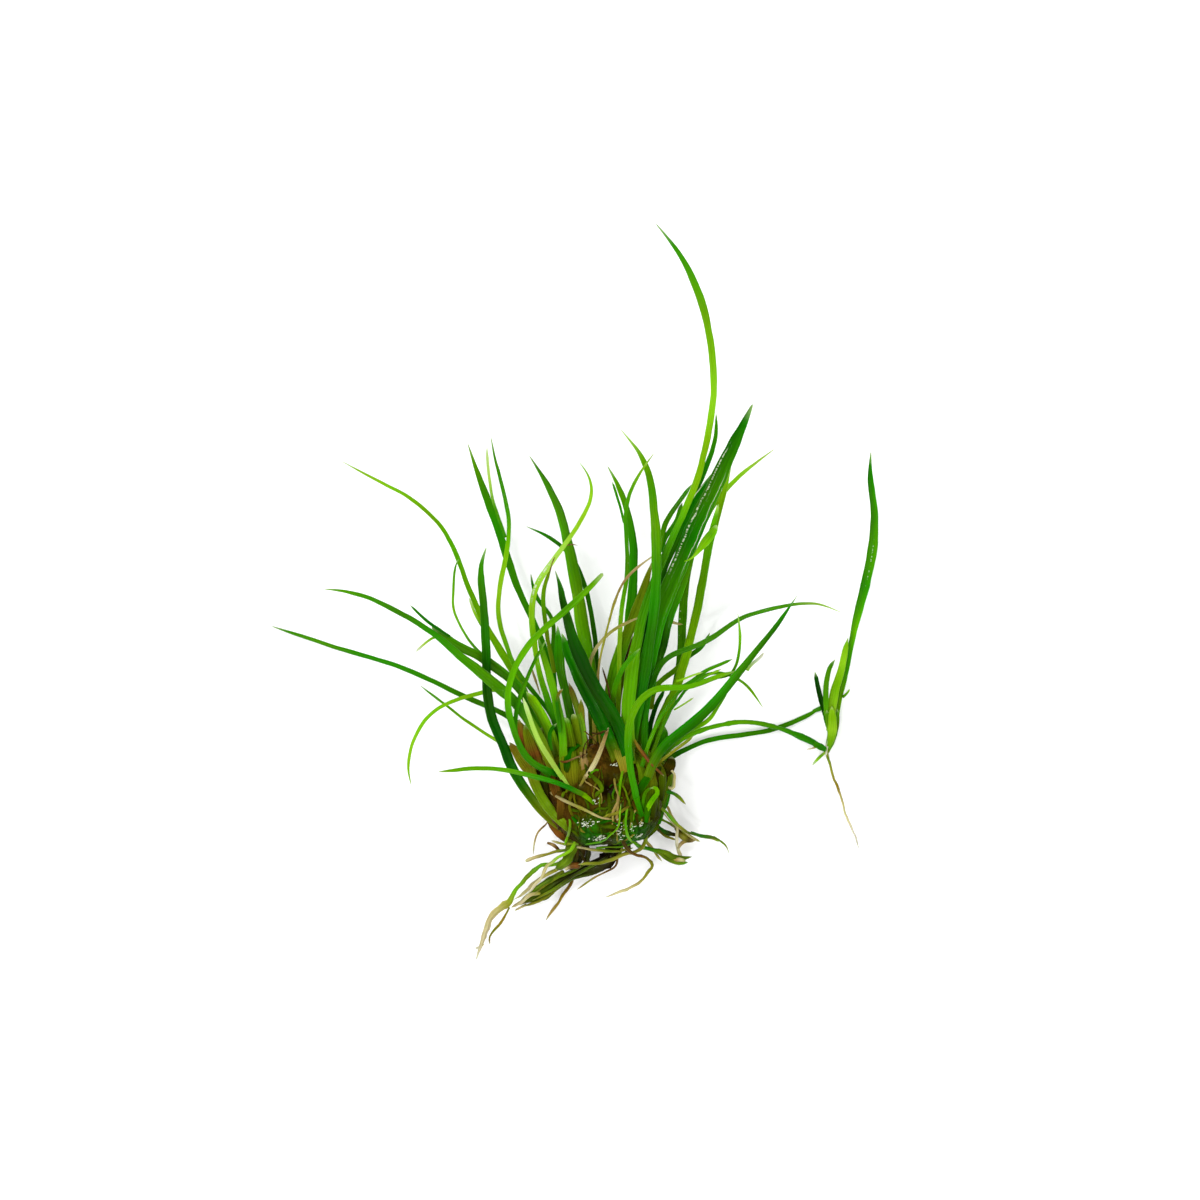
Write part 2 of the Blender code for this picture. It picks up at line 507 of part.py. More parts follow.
def piece_path(layers, widths, route, thickness, blunt, count):
    """The middle line of a piece in millimetres, with its width and thickness at each point.

    Its underside lies at the height of its layer, which fans out with the distance from the crown.
    """
    flat = smooth_curve(route, count)
    share = np.linspace(0.0, 1.0, count)
    width = width_along(widths, share, blunt)
    thick = np.clip(width * thickness, THINNEST, THICKEST)
    layer = np.interp(share, np.linspace(0.0, 1.0, len(layers)), layers)
    away = np.linalg.norm(flat - np.asarray(CROWN_CENTRE[:2]), axis=1)
    fan = LAYER_FAN * np.maximum(away - CROWN_REACH, 0.0)
    height = layer * (LAYER_STEP + fan) + 0.5 * thick
    return np.column_stack([flat, height]), width, thick


def free_of_crown(path, width):
    """The index of the first point from which the piece clears the crown."""
    clear = outside_crown(path) > CROWN_GAP + WIDTH_CLEARANCE * width
    blocked = np.flatnonzero(~clear)
    return blocked[-1] + 1 if len(blocked) else 0


def make_piece(name, layers, widths, tone, route, blunt=False, round=False):
    """A flattened tube from the crown to its tip: a leaf, or with round a root or thread."""
    thickness = ROOT_THICKNESS if round else LEAF_THICKNESS
    path, width, thick = piece_path(layers, widths, route, thickness, blunt, PATH_STEPS)
    start = free_of_crown(path, width)
    length = np.linalg.norm(np.diff(path[start:], axis=0), axis=1).sum()
    rings = int(np.clip(math.ceil(length / RING_SPACING) + 1, FEWEST_RINGS, MOST_RINGS))
    chosen = np.linspace(start, PATH_STEPS - 1, rings).astype(int)
    path, width, thick = path[chosen], width[chosen], thick[chosen]
    forward = np.gradient(path, axis=0)
    forward /= np.linalg.norm(forward, axis=1)[:, None]
    side = np.cross(forward, (0.0, 0.0, 1.0))
    side /= np.linalg.norm(side, axis=1)[:, None]
    up = np.cross(side, forward)
    turn = 2.0 * math.pi * np.arange(LEAF_SIDES) / LEAF_SIDES
    across = 0.5 * width[:, None, None] * np.cos(turn)[None, :, None] * side[:, None, :]
    through = OVAL_HEIGHT * thick[:, None, None] * np.sin(turn)[None, :, None] * up[:, None, :]
    points = (path[:, None, :] + across + through).reshape(-1, 3)
    faces = [tuple(range(LEAF_SIDES)), tuple(range((rings - 1) * LEAF_SIDES, rings * LEAF_SIDES))]
    for ring in range(rings - 1):
        low = ring * LEAF_SIDES
        for i in range(LEAF_SIDES):
            nxt = (i + 1) % LEAF_SIDES
            faces.append((low + i, low + nxt, low + LEAF_SIDES + nxt, low + LEAF_SIDES + i))
    return add_object(name, points, faces, tone, ROOT_ROUGHNESS if round else LEAF_ROUGHNESS)


def main():
    clear_scene()
    make_crown()
    for group in (LEFT_LEAVES, RIGHT_LEAVES, RUNNER, PLANTLET, DRY_LEAVES):
        for name, piece in group.items():
            make_piece(name, **piece)
    for name, piece in ROOTS.items():
        make_piece(name, **piece, round=True)


main()
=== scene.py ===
# A small tuft of shoreweed with bare roots, laid on a pale floor and seen from straight above.
# Leaves point along +Y, roots along -Y and +Z is up. Routes are in millimetres and run from base to tip.

import math

import bpy
import numpy as np
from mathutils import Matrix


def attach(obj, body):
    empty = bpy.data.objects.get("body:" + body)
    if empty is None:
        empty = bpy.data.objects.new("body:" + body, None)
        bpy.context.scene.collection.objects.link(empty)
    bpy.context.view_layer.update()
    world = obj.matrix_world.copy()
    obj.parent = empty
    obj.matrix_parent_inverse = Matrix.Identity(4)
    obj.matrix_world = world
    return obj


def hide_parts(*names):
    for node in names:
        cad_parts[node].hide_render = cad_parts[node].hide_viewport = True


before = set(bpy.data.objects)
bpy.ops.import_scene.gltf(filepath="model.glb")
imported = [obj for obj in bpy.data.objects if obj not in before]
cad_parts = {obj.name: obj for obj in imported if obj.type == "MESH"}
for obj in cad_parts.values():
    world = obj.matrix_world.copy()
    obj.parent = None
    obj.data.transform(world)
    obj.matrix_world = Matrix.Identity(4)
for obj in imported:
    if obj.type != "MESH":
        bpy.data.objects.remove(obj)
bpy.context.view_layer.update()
mm = 0.001

# The plant's colours, as a screen shows them
paint = {
    "ink": "043c00", "deep": "0b5300", "bottle": "1a7200", "leafGreen": "2f8402", "grass": "429002",
    "fresh": "5ca403", "bright": "77b806", "lime": "90cb1c", "pale": "aed552", "mint": "c6e092",
    "whitish": "e0eacb", "moss": "6b8a0c", "olive": "787e10", "khaki": "99982a", "straw": "c8bb7c",
    "tan": "b49a58", "cream": "ddd39c", "ivory": "efe9cc", "brown": "6f4d16", "umber": "3f2705",
    "rust": "86501c", "soot": "180d00", "pool": "1a5408", "gold": "8f7416",
    "bog": "2c3104", "mud": "4b3c08", "weed": "4b6603",
}
paintGain = 0.61  # a lit surface shows brighter than its paint, so the paint is held back by this


def paintOf(name):
    # screen colour to linear light: the lower end is a straight line, the rest a power of 2.4
    screen = np.array([int(paint[name][i:i + 2], 16) for i in (0, 2, 4)]) / 255
    return np.where(screen < 0.04045, screen / 12.92, ((screen + 0.055) / 1.055) ** 2.4) * paintGain


# How the pieces lie over each other, the same rule as in the solid model
lay = dict(
    step=0.5,          # height of one layer, beside the crown
    fan=0.0125,        # what each layer gains in height for each millimetre away from the crown
    reach=6.0,         # the fan starts this far from the crown's middle
    thickest=0.65,
    thinnest=0.18,     # or 0.8 of the greatest width, where that is less
    leafThick=0.40,    # thickness as a share of the width
    rootThick=0.85,
)

crown = dict(
    centre=(0.4, 0.6, 4.2),
    half=(7.1, 5.9, 6.7),
    squareness=2.5,    # 2 gives an ellipsoid, more gives a boxier clump
    taper=0.16,        # how much wider the leaf end is than the middle
    lean=-0.5,         # sideways shift of the leaf end against the middle
    core=0.90,         # the core inside the sheaths, as a share of the whole clump
    sheaths=11,        # ridges round the leaf end, and their height as a share of the radius
    depth=0.05,
    around=220,        # points round the clump, and rows of them from end to end
    along=110,
    lumps=[            # direction from the centre, size as a share of the radius, sharpness
        ((0.62, -0.62, 0.45), 0.15, 12), ((-0.55, -0.70, 0.30), 0.14, 10), ((0.02, -0.75, 0.66), 0.07, 16),
        ((0.93, 0.30, 0.15), 0.12, 22), ((-0.90, 0.10, 0.25), 0.06, 14), ((0.05, 0.80, 0.45), 0.07, 12),
        ((0.35, -0.15, 0.92), 0.05, 30), ((-0.35, 0.10, 0.93), 0.04, 26), ((0.05, 0.08, 1.0), -0.13, 60),
    ],
    fineLumps=[(0.030, 3, 3.0), (0.022, 4, 1.2), (0.010, 5, 0.5)],  # height, seed and size
)


def seedOf(name):
    return sum(place * ord(letter) for place, letter in enumerate(name, 1))


def unit(vectors):
    return vectors / np.linalg.norm(vectors, axis=-1, keepdims=True)


def wander(seed, along, wavelength):
    # a slow random drift between about -1 and 1: four sines of falling wavelength and size
    phases = np.random.default_rng(seed).uniform(0, 2 * math.pi, 4)
    shares = (1.0, 0.53, 0.31, 0.17)
    return sum(share * np.sin(2 * math.pi * along / (wavelength * share) + phase)
               for share, phase in zip(shares, phases)) / 1.4


def lumpy(points, seed, size, waves=14):
    # soft random lumps of about this size: the mean of plane waves in random directions
    random = np.random.default_rng(seed)
    directions = unit(random.normal(size=(waves, 3)))
    stretch = random.uniform(0.6, 1.7, waves) * 2 * math.pi / size
    phases = random.uniform(0, 2 * math.pi, waves)
    return np.sin((points @ directions.T) * stretch + phases).mean(axis=-1) * 2.2


def smoothRoute(points, count, samples=500):
    # the natural cubic spline through the points, read at evenly spaced places along its length
    points = np.asarray(points, float)
    knots = np.concatenate([[0], np.cumsum(np.linalg.norm(np.diff(points, axis=0), axis=1))])
    steps = np.diff(knots)
    size = len(points)
    system, right = np.eye(size), np.zeros_like(points)
    for i in range(1, size - 1):
        system[i, i - 1:i + 2] = steps[i - 1], 2 * (steps[i - 1] + steps[i]), steps[i]
        right[i] = 3 * ((points[i + 1] - points[i]) / steps[i] - (points[i] - points[i - 1]) / steps[i - 1])
    bend = np.linalg.solve(system, right)
    where = np.linspace(0, knots[-1], samples)
    span = np.clip(np.searchsorted(knots, where, side="right") - 1, 0, size - 2)
    step, off = steps[span][:, None], (where - knots[span])[:, None]
    slope = (points[span + 1] - points[span]) / step - step * (2 * bend[span] + bend[span + 1]) / 3
    change = (bend[span + 1] - bend[span]) / (3 * step)
    fine = points[span] + slope * off + bend[span] * off**2 + change * off**3
    travelled = np.concatenate([[0], np.cumsum(np.linalg.norm(np.diff(fine, axis=0), axis=1))])
    wanted = np.linspace(0, travelled[-1], count)
    return np.stack([np.interp(wanted, travelled, column) for column in fine.T], axis=1), travelled[-1]


def spread(values, share):
    # values given evenly from base to tip, read in between
    return np.interp(share, np.linspace(0, 1, len(values)), values)


def crownRadius(directions):
    # radius of the clump as a share of its half sizes: a superellipsoid with sheath ridges and lumps
    radius = (np.abs(directions) ** crown["squareness"]).sum(axis=-1) ** (-1 / crown["squareness"])
    turn = np.arctan2(directions[..., 2], directions[..., 0])
    upper = np.clip(directions[..., 1] + 0.2, 0, 1)
    radius = radius * (1 + crown["depth"] * upper * np.cos(crown["sheaths"] * turn))
    for lump, size, sharpness in crown["lumps"]:
        radius = radius + size * np.exp(sharpness * (directions @ unit(np.array(lump)) - 1))
    return radius


def crownPoint(scaled, size=1.0):
    # a point given in shares of the clump's half sizes, in millimetres, with the taper and the lean
    rise = np.clip(scaled[..., 1:2], -1, 1)
    wider = np.concatenate([1 + crown["taper"] * rise, 1 + 0 * rise, 1 + 0 * rise], -1)
    middle = np.array(crown["centre"]) + np.concatenate([crown["lean"] * rise, 0 * rise, 0 * rise], -1)
    return middle + np.array(crown["half"]) * wider * scaled * size


def crownTop(flat, air=14.0, missed=-10.0, halvings=18):
    # height of the core's upper side over each flat point, by halving between its middle and the air
    low, high = np.full(len(flat), crown["centre"][2]), np.full(len(flat), air)
    rise = np.clip((flat[:, 1] - crown["centre"][1]) / crown["half"][1], -1, 1)
    half = np.stack([crown["half"][0] * (1 + crown["taper"] * rise), crown["half"][1] + 0 * rise], 1)
    middle = np.stack([crown["centre"][0] + crown["lean"] * rise, crown["centre"][1] + 0 * rise], 1)
    inward = (flat - middle) / half / crown["core"]

    def inside(height):
        up = (height - crown["centre"][2]) / crown["half"][2] / crown["core"]
        place = np.column_stack([inward, up])
        reach = np.linalg.norm(place, axis=1) + 1e-9
        return crownRadius(place / reach[:, None]) > reach

    covered = inside(low)
    for _ in range(halvings):
        middleHeight = (low + high) / 2
        within = inside(middleHeight)
        low, high = np.where(within, middleHeight, low), np.where(within, high, middleHeight)
    return np.where(covered, low, missed)


def softMax(a, b, blend):
    # the larger of two heights, rounded over where they cross
    top = np.maximum(a, b)
    return top + blend * np.log(np.exp((a - top) / blend) + np.exp((b - top) / blend))


# What all pieces share: how they end, how they stray from their route and how they lie on the crown
habit = dict(
    ending=0.10,       # share of the length over which a piece narrows to its end
    pointed=0.24,      # width of a pointed end, as a share of the full width, and of a blunt one
    blunt=0.62,
    uneven=0.05,       # random change of the width, and its wavelength
    unevenLength=7,
    ripple=0.035,      # how far a piece strays, and the wavelength of that
    wave=9,
    blend=0.25,        # rounding where a draped piece comes to lie on the crown
    dive=0.9,          # how deep the foot of a draped piece goes into the crown, over which length
    footLength=1.6,
    pale=0.5,          # how far the last bit of a piece turns to mint, and where that begins
    paleFrom=0.955,
    footCap=0.2,       # how far the closing points stand out of foot and tip, as shares of a step
    tipCap=0.4,
)


def strandPath(piece, spacing, thickness):
    # middle line, width and thickness of a piece, at points this far apart along its route
    rough = np.linalg.norm(np.diff(np.array(piece["route"], float), axis=0), axis=1).sum()
    count = max(int(rough / spacing), 10)
    flat, length = smoothRoute(piece["route"], count)
    share = np.linspace(0, 1, count)
    along = share * length
    seed = seedOf(piece["name"])
    left = np.clip((1 - share) / habit["ending"], 0, 1)
    if piece.get("blunt"):
        end = habit["blunt"] + (1 - habit["blunt"]) * np.sqrt(left)
    else:
        end = habit["pointed"] + (1 - habit["pointed"]) * left**0.75
    width = spread(piece["widths"], share) * end
    width = width * (1 + habit["uneven"] * wander(seed, along, habit["unevenLength"]))
    thick = np.clip(width * thickness, min(lay["thinnest"], 0.8 * width.max()), lay["thickest"])
    away = np.linalg.norm(flat - np.array(crown["centre"][:2]), axis=1)
    layer = spread(piece["layers"], share)
    height = layer * (lay["step"] + lay["fan"] * np.maximum(away - lay["reach"], 0)) + thick / 2
    if "drape" in piece:
        height = softMax(height, crownTop(flat) + piece["drape"] + thick / 2, habit["blend"])
        foot = np.clip(1 - along / habit["footLength"], 0, 1)
        head = np.clip(1 - (1 - share) * length / habit["footLength"], 0, 1)
        height = height - habit["dive"] * foot**2 - piece.get("tuck", 0.0) * head**2
    drift = piece.get("ripple", habit["ripple"]) * np.minimum(share * 8, 1) * left  # none at foot and tip
    wave = piece.get("wave", habit["wave"])
    flat = flat + drift[:, None] * np.stack([wander(seed + i, along, wave) for i in (1, 2)], 1)
    return np.column_stack([flat, height]), width, thick, share, length


def strandFrame(path, roll):
    # sideways and upward directions along a path, turned about it by roll degrees
    forward = unit(np.gradient(path, axis=0))
    side = unit(np.cross(forward, (0, 0, 1)))
    up = np.cross(side, forward)
    turn = np.radians(roll)[:, None]
    return np.cos(turn) * side + np.sin(turn) * up, np.cos(turn) * up - np.sin(turn) * side


def closedRings(rings, sides):
    # faces of a tube of rings, closed at each end by a point; the two points are stored after the rings
    ring, i = np.meshgrid(np.arange(rings - 1) * sides, np.arange(sides), indexing="ij")
    after = (i + 1) % sides
    quads = np.stack([ring + i, ring + i + sides, ring + after + sides, ring + after], -1).reshape(-1, 4)
    i, after, last = i[0], after[0], (rings - 1) * sides
    base = np.stack([np.full(sides, rings * sides), i, after], -1)
    tip = np.stack([np.full(sides, rings * sides + 1), last + after, last + i], -1)
    return quads, np.concatenate([base, tip])


def sweep(path, side, up, across, lift):
    # carries a closed outline along a path: each point is path + across sideways + lift upwards
    points = path[:, None] + across[..., None] * side[:, None] + lift[..., None] * up[:, None]
    points = np.concatenate([points.reshape(-1, 3), path[:1] + (path[0] - path[1]) * habit["footCap"],
                             path[-1:] + (path[-1] - path[-2]) * habit["tipCap"]])
    return points, *closedRings(*across.shape)


def turnsOf(sides):
    # angles of points spread evenly round a ring
    return 2 * math.pi * np.arange(sides) / sides


def tintAlong(piece, share):
    # the tones of a piece, given evenly from base to tip, mixed in between
    tones = np.array([paintOf(tone) for tone in piece["tones"].split()])
    tint = np.stack([spread(column, share) for column in tones.T], axis=-1)
    last = np.clip((share - habit["paleFrom"]) / (1 - habit["paleFrom"]), 0, 1)
    pale = (piece.get("fade", habit["pale"]) * last)[:, None]
    return tint * (1 - pale) + paintOf("mint") * pale


blade = dict(
    upper=0.40,        # height of the upper and of the lower side, as shares of the thickness
    lower=0.52,
    channel=0.30,      # how clear the channel is, how deep a clear one goes, and its width
    channelDepth=0.8,
    channelWidth=0.30,
    fold=0.16,         # how steeply the halves rise, how rounded the fold is, and how far it lies below
    foldRound=0.015,
    foldBelow=0.6,
    shade=0.12,        # how much darker the lower side is
)


def leafBlade(piece, spacing=0.45, sides=18):
    # a leaf: a rounded underside, a flatter top with a channel down its middle, and edges raised by a fold
    path, width, thick, share, length = strandPath(piece, spacing, lay["leafThick"])
    side, up = strandFrame(path, spread(piece.get("roll", (0, 0)), share))
    across, rise = np.cos(turnsOf(sides)), np.sin(turnsOf(sides))
    off = across - piece.get("crease", 0.0)
    body = np.where(rise > 0, blade["upper"], blade["lower"]) * rise
    groove = piece.get("channel", blade["channel"]) * np.exp(-(off / blade["channelWidth"]) ** 2) * (rise > 0)
    fold = piece.get("fold", blade["fold"]) * (np.sqrt(off**2 + blade["foldRound"]) - blade["foldBelow"])
    lift = thick[:, None] * (body - groove * blade["channelDepth"])[None] + 0.5 * width[:, None] * fold[None]
    shape = sweep(path, side, up, 0.5 * width[:, None] * across[None], lift)
    # painted light and shade: one half of the leaf lighter, the other darker, as light falls across its fold
    half = 1 + piece.get("half", 0.0) * across[None, :, None]
    under = 1 - blade["shade"] * np.clip(-rise, 0, 1)[None, :, None]
    tint = tintAlong(piece, share)[:, None] * half * under
    return gather(*shape, tint, across, share, length, width, thick, seedOf(piece["name"]))


rootShape = dict(
    oval=0.10,         # how far the section is from round, how far that turns, and its wavelength
    ovalTurn=2.5,
    ovalLength=4,
    knots=0.08,        # random change of thickness, and its wavelength
    knotLength=1.6,
    cordCount=5,       # cords of a root bundle
)


def roundStrand(piece, spacing=0.35, sides=10):
    # a root, thread or runner: an uneven round section carried along the route
    path, width, thick, share, length = strandPath(piece, spacing, lay["rootThick"])
    side, up = strandFrame(path, 0 * share)
    angle, along, seed = turnsOf(sides), share * length, seedOf(piece["name"])
    turning = rootShape["ovalTurn"] * wander(seed + 5, along, rootShape["ovalLength"])[:, None]
    uneven = 1 + rootShape["oval"] * np.sin(2 * angle[None] + turning)
    uneven = uneven * (1 + rootShape["knots"] * wander(seed + 6, along, rootShape["knotLength"])[:, None])
    twist = piece.get("twist", 0) * along
    cords = np.cos(rootShape["cordCount"] * angle[None] + twist[:, None])
    uneven = uneven * (1 + piece.get("cords", 0) * cords)
    across = 0.5 * width[:, None] * np.cos(angle)[None] * uneven
    lift = 0.5 * thick[:, None] * np.sin(angle)[None] * uneven
    shape = sweep(path, side, up, across, lift)
    tint = np.repeat(tintAlong(piece, share)[:, None], sides, axis=1)
    return gather(*shape, tint, np.cos(angle), share, length, width, thick, seed)


def gather(points, quads, tris, tint, across, share, length, width, thick, seed):
    # puts a swept shape beside its colour and its place on the piece: millimetres across and along
    rings, sides = tint.shape[:2]
    ownMarks = (seed % 97) * 3.7  # another part of the noise, so that pieces seldom carry the same marks
    place = np.stack([
        0.5 * width[:, None] * np.cos(turnsOf(sides))[None],
        np.repeat((share * length)[:, None], sides, axis=1),
        0.5 * thick[:, None] * np.sin(turnsOf(sides))[None] + ownMarks,
    ], axis=-1).reshape(-1, 3)
    flatTint = tint.reshape(-1, 3)
    ends = [0, (rings - 1) * sides]
    return dict(
        points=points, quads=quads, tris=tris,
        tint=np.concatenate([flatTint, flatTint[ends]]),
        place=np.concatenate([place, place[ends]]),
        across=np.concatenate([np.tile(across, rings), [0, 0]]),
    )


def putObject(name, data):
    made = bpy.data.objects.new(name, data)
    bpy.context.scene.collection.objects.link(made)
    return made


def putPiece(name, parts, material, slotName, *nodes):
    # joins parts into one mesh piece with its colours, which rides on the root and stands for the nodes
    points = np.concatenate([part["points"] for part in parts]) * mm
    points[:, 2] = np.maximum(points[:, 2], 0.0)
    faces, start = [], 0
    for part in parts:
        faces += (part["quads"] + start).tolist() + (part["tris"] + start).tolist()
        start += len(part["points"])
    mesh = bpy.data.meshes.new(name)
    mesh.from_pydata(points.tolist(), [], faces)
    tint = np.concatenate([part["tint"] for part in parts])
    for key, kind, field, values in (
            ("tint", "FLOAT_COLOR", "color", np.column_stack([tint, np.ones(len(tint))])),
            ("place", "FLOAT_VECTOR", "vector", np.concatenate([part["place"] for part in parts])),
            ("across", "FLOAT", "value", np.concatenate([part["across"] for part in parts]))):
        mesh.attributes.new(key, kind, "POINT").data.foreach_set(field, values.astype(np.float32).ravel())
    mesh.shade_smooth()
    mesh.materials.append(material)
    made = putObject(name, mesh)
    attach(made, "root")
    if nodes:
        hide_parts(*nodes)


# Shader helpers

def fill(tree, node, inputs):
    # links or sets each input, by its name or number
    for key, value in inputs.items():
        if isinstance(value, bpy.types.NodeSocket):
            tree.links.new(value, node.inputs[key])
        else:
            node.inputs[key].default_value = value
    return node


def addNode(tree, kind, inputs=None, **settings):
    node = tree.nodes.new(kind)
    for key, value in settings.items():
        setattr(node, key, value)
    return fill(tree, node, inputs or {})


def mathOf(tree, operation, a, b=0.0, c=0.0):
    return addNode(tree, "ShaderNodeMath", {0: a, 1: b, 2: c}, operation=operation).outputs[0]


def times(tree, a, b, added=0.0):
    return mathOf(tree, "MULTIPLY_ADD", a, b, added)


def plus(tree, a, b):
    return mathOf(tree, "ADD", a, b)


def minus(tree, a, b=0.5):
    return mathOf(tree, "SUBTRACT", a, b)


def scaled(tree, vector, amounts):
    return addNode(tree, "ShaderNodeVectorMath", {0: vector, 1: amounts}, operation="MULTIPLY").outputs[0]


def shaded(tree, colour, amount):
    return addNode(tree, "ShaderNodeVectorMath", {0: colour, "Scale": amount}, operation="SCALE").outputs[0]


def noiseOf(tree, vector, scale=1.0, detail=3.0, roughness=0.5):
    return addNode(tree, "ShaderNodeTexNoise", {"Vector": vector, "Scale": scale, "Detail": detail,
                                                "Roughness": roughness}).outputs[0]


def ramped(tree, value, low, high, lowTo=0.0, highTo=1.0):
    # a soft step: value from low to high becomes lowTo to highTo
    return addNode(tree, "ShaderNodeMapRange", {"Value": value, "From Min": low, "From Max": high,
                   "To Min": lowTo, "To Max": highTo}, interpolation_type="SMOOTHSTEP").outputs[0]


def mixed(tree, share, first, second, blend="MIX"):
    return addNode(tree, "ShaderNodeMix", {0: share, 6: first, 7: second}, data_type="RGBA",
                   blend_type=blend).outputs[2]


def newGroup(name, inputs, outputs):
    group = bpy.data.node_groups.new(name, "ShaderNodeTree")
    for socketName, kind, value in inputs:
        socket = group.interface.new_socket(socketName, in_out="INPUT", socket_type=kind)
        if value is not None:
            socket.default_value = value
    for socketName, kind in outputs:
        group.interface.new_socket(socketName, in_out="OUTPUT", socket_type=kind)
    return group, group.nodes.new("NodeGroupInput"), group.nodes.new("NodeGroupOutput")


floatKind, colourKind, vectorKind = "NodeSocketFloat", "NodeSocketColor", "NodeSocketVector"
surfaceOutputs = [("Color", colourKind), ("Roughness", floatKind), ("Height", floatKind)]


def makeSkinGroup():
    # growth marks along a leaf or root: its own colour with veins, streaks, cells and small scars,
    # and pale edges of painted light shining through them
    group, given, out = newGroup("growthMarksAndEdgeLight", [
        ("Tint", colourKind, (0.2, 0.4, 0.05, 1)), ("Place", vectorKind, None), ("Across", floatKind, 0.0),
        ("Vein Count", floatKind, 5.0), ("Vein Strength", floatKind, 0.12),
        ("Streak Strength", floatKind, 0.35), ("Edge Light Strength", floatKind, 0.3),
        ("Scar Amount", floatKind, 0.2), ("Scar Colour", colourKind, (0.6, 0.65, 0.4, 1)),
        ("Base Roughness", floatKind, 0.35),
    ], surfaceOutputs)
    given = given.outputs
    place, across = given["Place"], given["Across"]

    # noise, with how often it changes across, along and through the piece, for each millimetre
    streak = noiseOf(group, scaled(group, place, (3.2, 0.22, 0.6)))
    cells = noiseOf(group, scaled(group, place, (9.0, 3.0, 3.0)), detail=2.0, roughness=0.6)
    patches = noiseOf(group, scaled(group, place, (0.35, 0.13, 1.0)), detail=1.0)
    scarNoise = noiseOf(group, scaled(group, place, (2.3, 0.9, 2.0)), detail=4.0, roughness=0.65)

    # brightness: 1 + vein strength x (vein - half)
    # + streak strength x (streak - half + half x (cells - half))
    phase = times(group, across, given["Vein Count"], times(group, streak, 1.2))
    vein = times(group, mathOf(group, "SINE", times(group, phase, math.pi)), 0.5, 0.5)
    light = times(group, minus(group, vein), given["Vein Strength"], 1.0)
    drift = plus(group, minus(group, streak), times(group, minus(group, cells), 0.5))
    light = plus(group, light, times(group, drift, given["Streak Strength"]))
    turned = addNode(group, "ShaderNodeHueSaturation", {
        "Hue": ramped(group, patches, 0.30, 0.70, 0.490, 0.508),
        "Value": ramped(group, patches, 0.30, 0.70, 0.92, 1.10),
        "Color": shaded(group, given["Tint"], light)}).outputs[0]

    # paler edges, painted light shining through the thin edges, then scars
    edge = times(group, ramped(group, mathOf(group, "ABSOLUTE", across), 0.78, 1.0), given["Edge Light Strength"])
    edgeLitColour = mixed(group, edge, turned, mixed(group, 1.0, turned, (1.6, 1.45, 1.5, 1), "MULTIPLY"))
    scars = times(group, ramped(group, scarNoise, 0.68, 0.76), given["Scar Amount"])
    rough = times(group, minus(group, cells), 0.35, given["Base Roughness"])
    height = times(group, vein, 0.35, times(group, cells, 0.5))
    fill(group, out, {"Color": mixed(group, scars, edgeLitColour, given["Scar Colour"]),
                      "Roughness": times(group, scars, 0.2, rough),
                      "Height": times(group, streak, 0.5, height)})
    return group


def makeGlintGroup():
    # a painted highlight, a thin broken line along a leaf: how far off its middle it lies,
    # and from which to which millimetre
    group, given, out = newGroup("glintLine", [
        ("Place", vectorKind, None), ("Across", floatKind, 0.0), ("Offset", floatKind, 0.5),
        ("Half Width", floatKind, 0.08), ("Start", floatKind, 10.0), ("End", floatKind, 20.0),
        ("Break", floatKind, 0.5),
    ], [("Mask", floatKind)])
    given = given.outputs
    place = given["Place"]
    along = addNode(group, "ShaderNodeSeparateXYZ", {"Vector": place}).outputs["Y"]
    waver = minus(group, noiseOf(group, scaled(group, place, (0.0, 0.7, 0.3))))
    off = mathOf(group, "ABSOLUTE", times(group, waver, 0.35, minus(group, given["Across"], given["Offset"])))
    line = addNode(group, "ShaderNodeMapRange", {"Value": off, "From Min": given["Half Width"],
                                                 "From Max": 0.0}).outputs[0]
    dashes = noiseOf(group, scaled(group, place, (1.5, 4.5, 1.0)), roughness=0.7)
    gap = times(group, given["Break"], 0.35, 0.25)
    dash = addNode(group, "ShaderNodeMapRange", {"Value": dashes, "From Min": gap,
                                                 "From Max": plus(group, gap, 0.08)}).outputs[0]
    begun, left = minus(group, along, given["Start"]), minus(group, given["End"], along)
    nearerEnd = mathOf(group, "MINIMUM", begun, left)
    mask = times(group, times(group, line, dash), ramped(group, nearerEnd, -0.5, 2.5))
    fill(group, out, {"Mask": mathOf(group, "MINIMUM", times(group, mask, 1.6), 1.0)})
    return group


def makeWetGroup():
    # wet dirt on the clump: brown and green stains over its own colour, with pits and fine threads
    group, given, out = newGroup("wetClump", [
        ("Tint", colourKind, (0.1, 0.1, 0.02, 1)), ("Position", vectorKind, None),
        ("Stain Colour", colourKind, (0.05, 0.02, 0.002, 1)), ("Stain Amount", floatKind, 0.5),
        ("Base Roughness", floatKind, 0.3),
    ], surfaceOutputs + [("Gloss", floatKind)])
    given = given.outputs
    position = given["Position"]
    broad = noiseOf(group, position, 420.0, roughness=0.6)
    fine = noiseOf(group, position, 2200.0, roughness=0.6)
    fibres = noiseOf(group, scaled(group, position, (3.2, 0.5, 1.6)), 900.0)
    pits = addNode(group, "ShaderNodeTexVoronoi", {"Vector": position, "Scale": 900.0}).outputs["Distance"]
    stain = times(group, ramped(group, broad, 0.45, 0.66), given["Stain Amount"])
    grain = ramped(group, fine, 0.25, 0.75, 0.65, 1.35)
    light = plus(group, grain, ramped(group, fibres, 0.3, 0.7, -0.25, 0.25))
    fill(group, out, {
        "Color": mixed(group, stain, shaded(group, given["Tint"], light), given["Stain Colour"]),
        "Roughness": times(group, minus(group, fine), 0.4, given["Base Roughness"]),
        "Height": times(group, fine, 0.3, times(group, fibres, 0.8, times(group, pits, 0.5))),
        "Gloss": ramped(group, broad, 0.60, 0.36, 0.0, 0.03)})
    return group


def newMaterial(name):
    made = bpy.data.materials.new(name)
    made.use_nodes = True
    return made, made.node_tree, made.node_tree.nodes["Principled BSDF"]


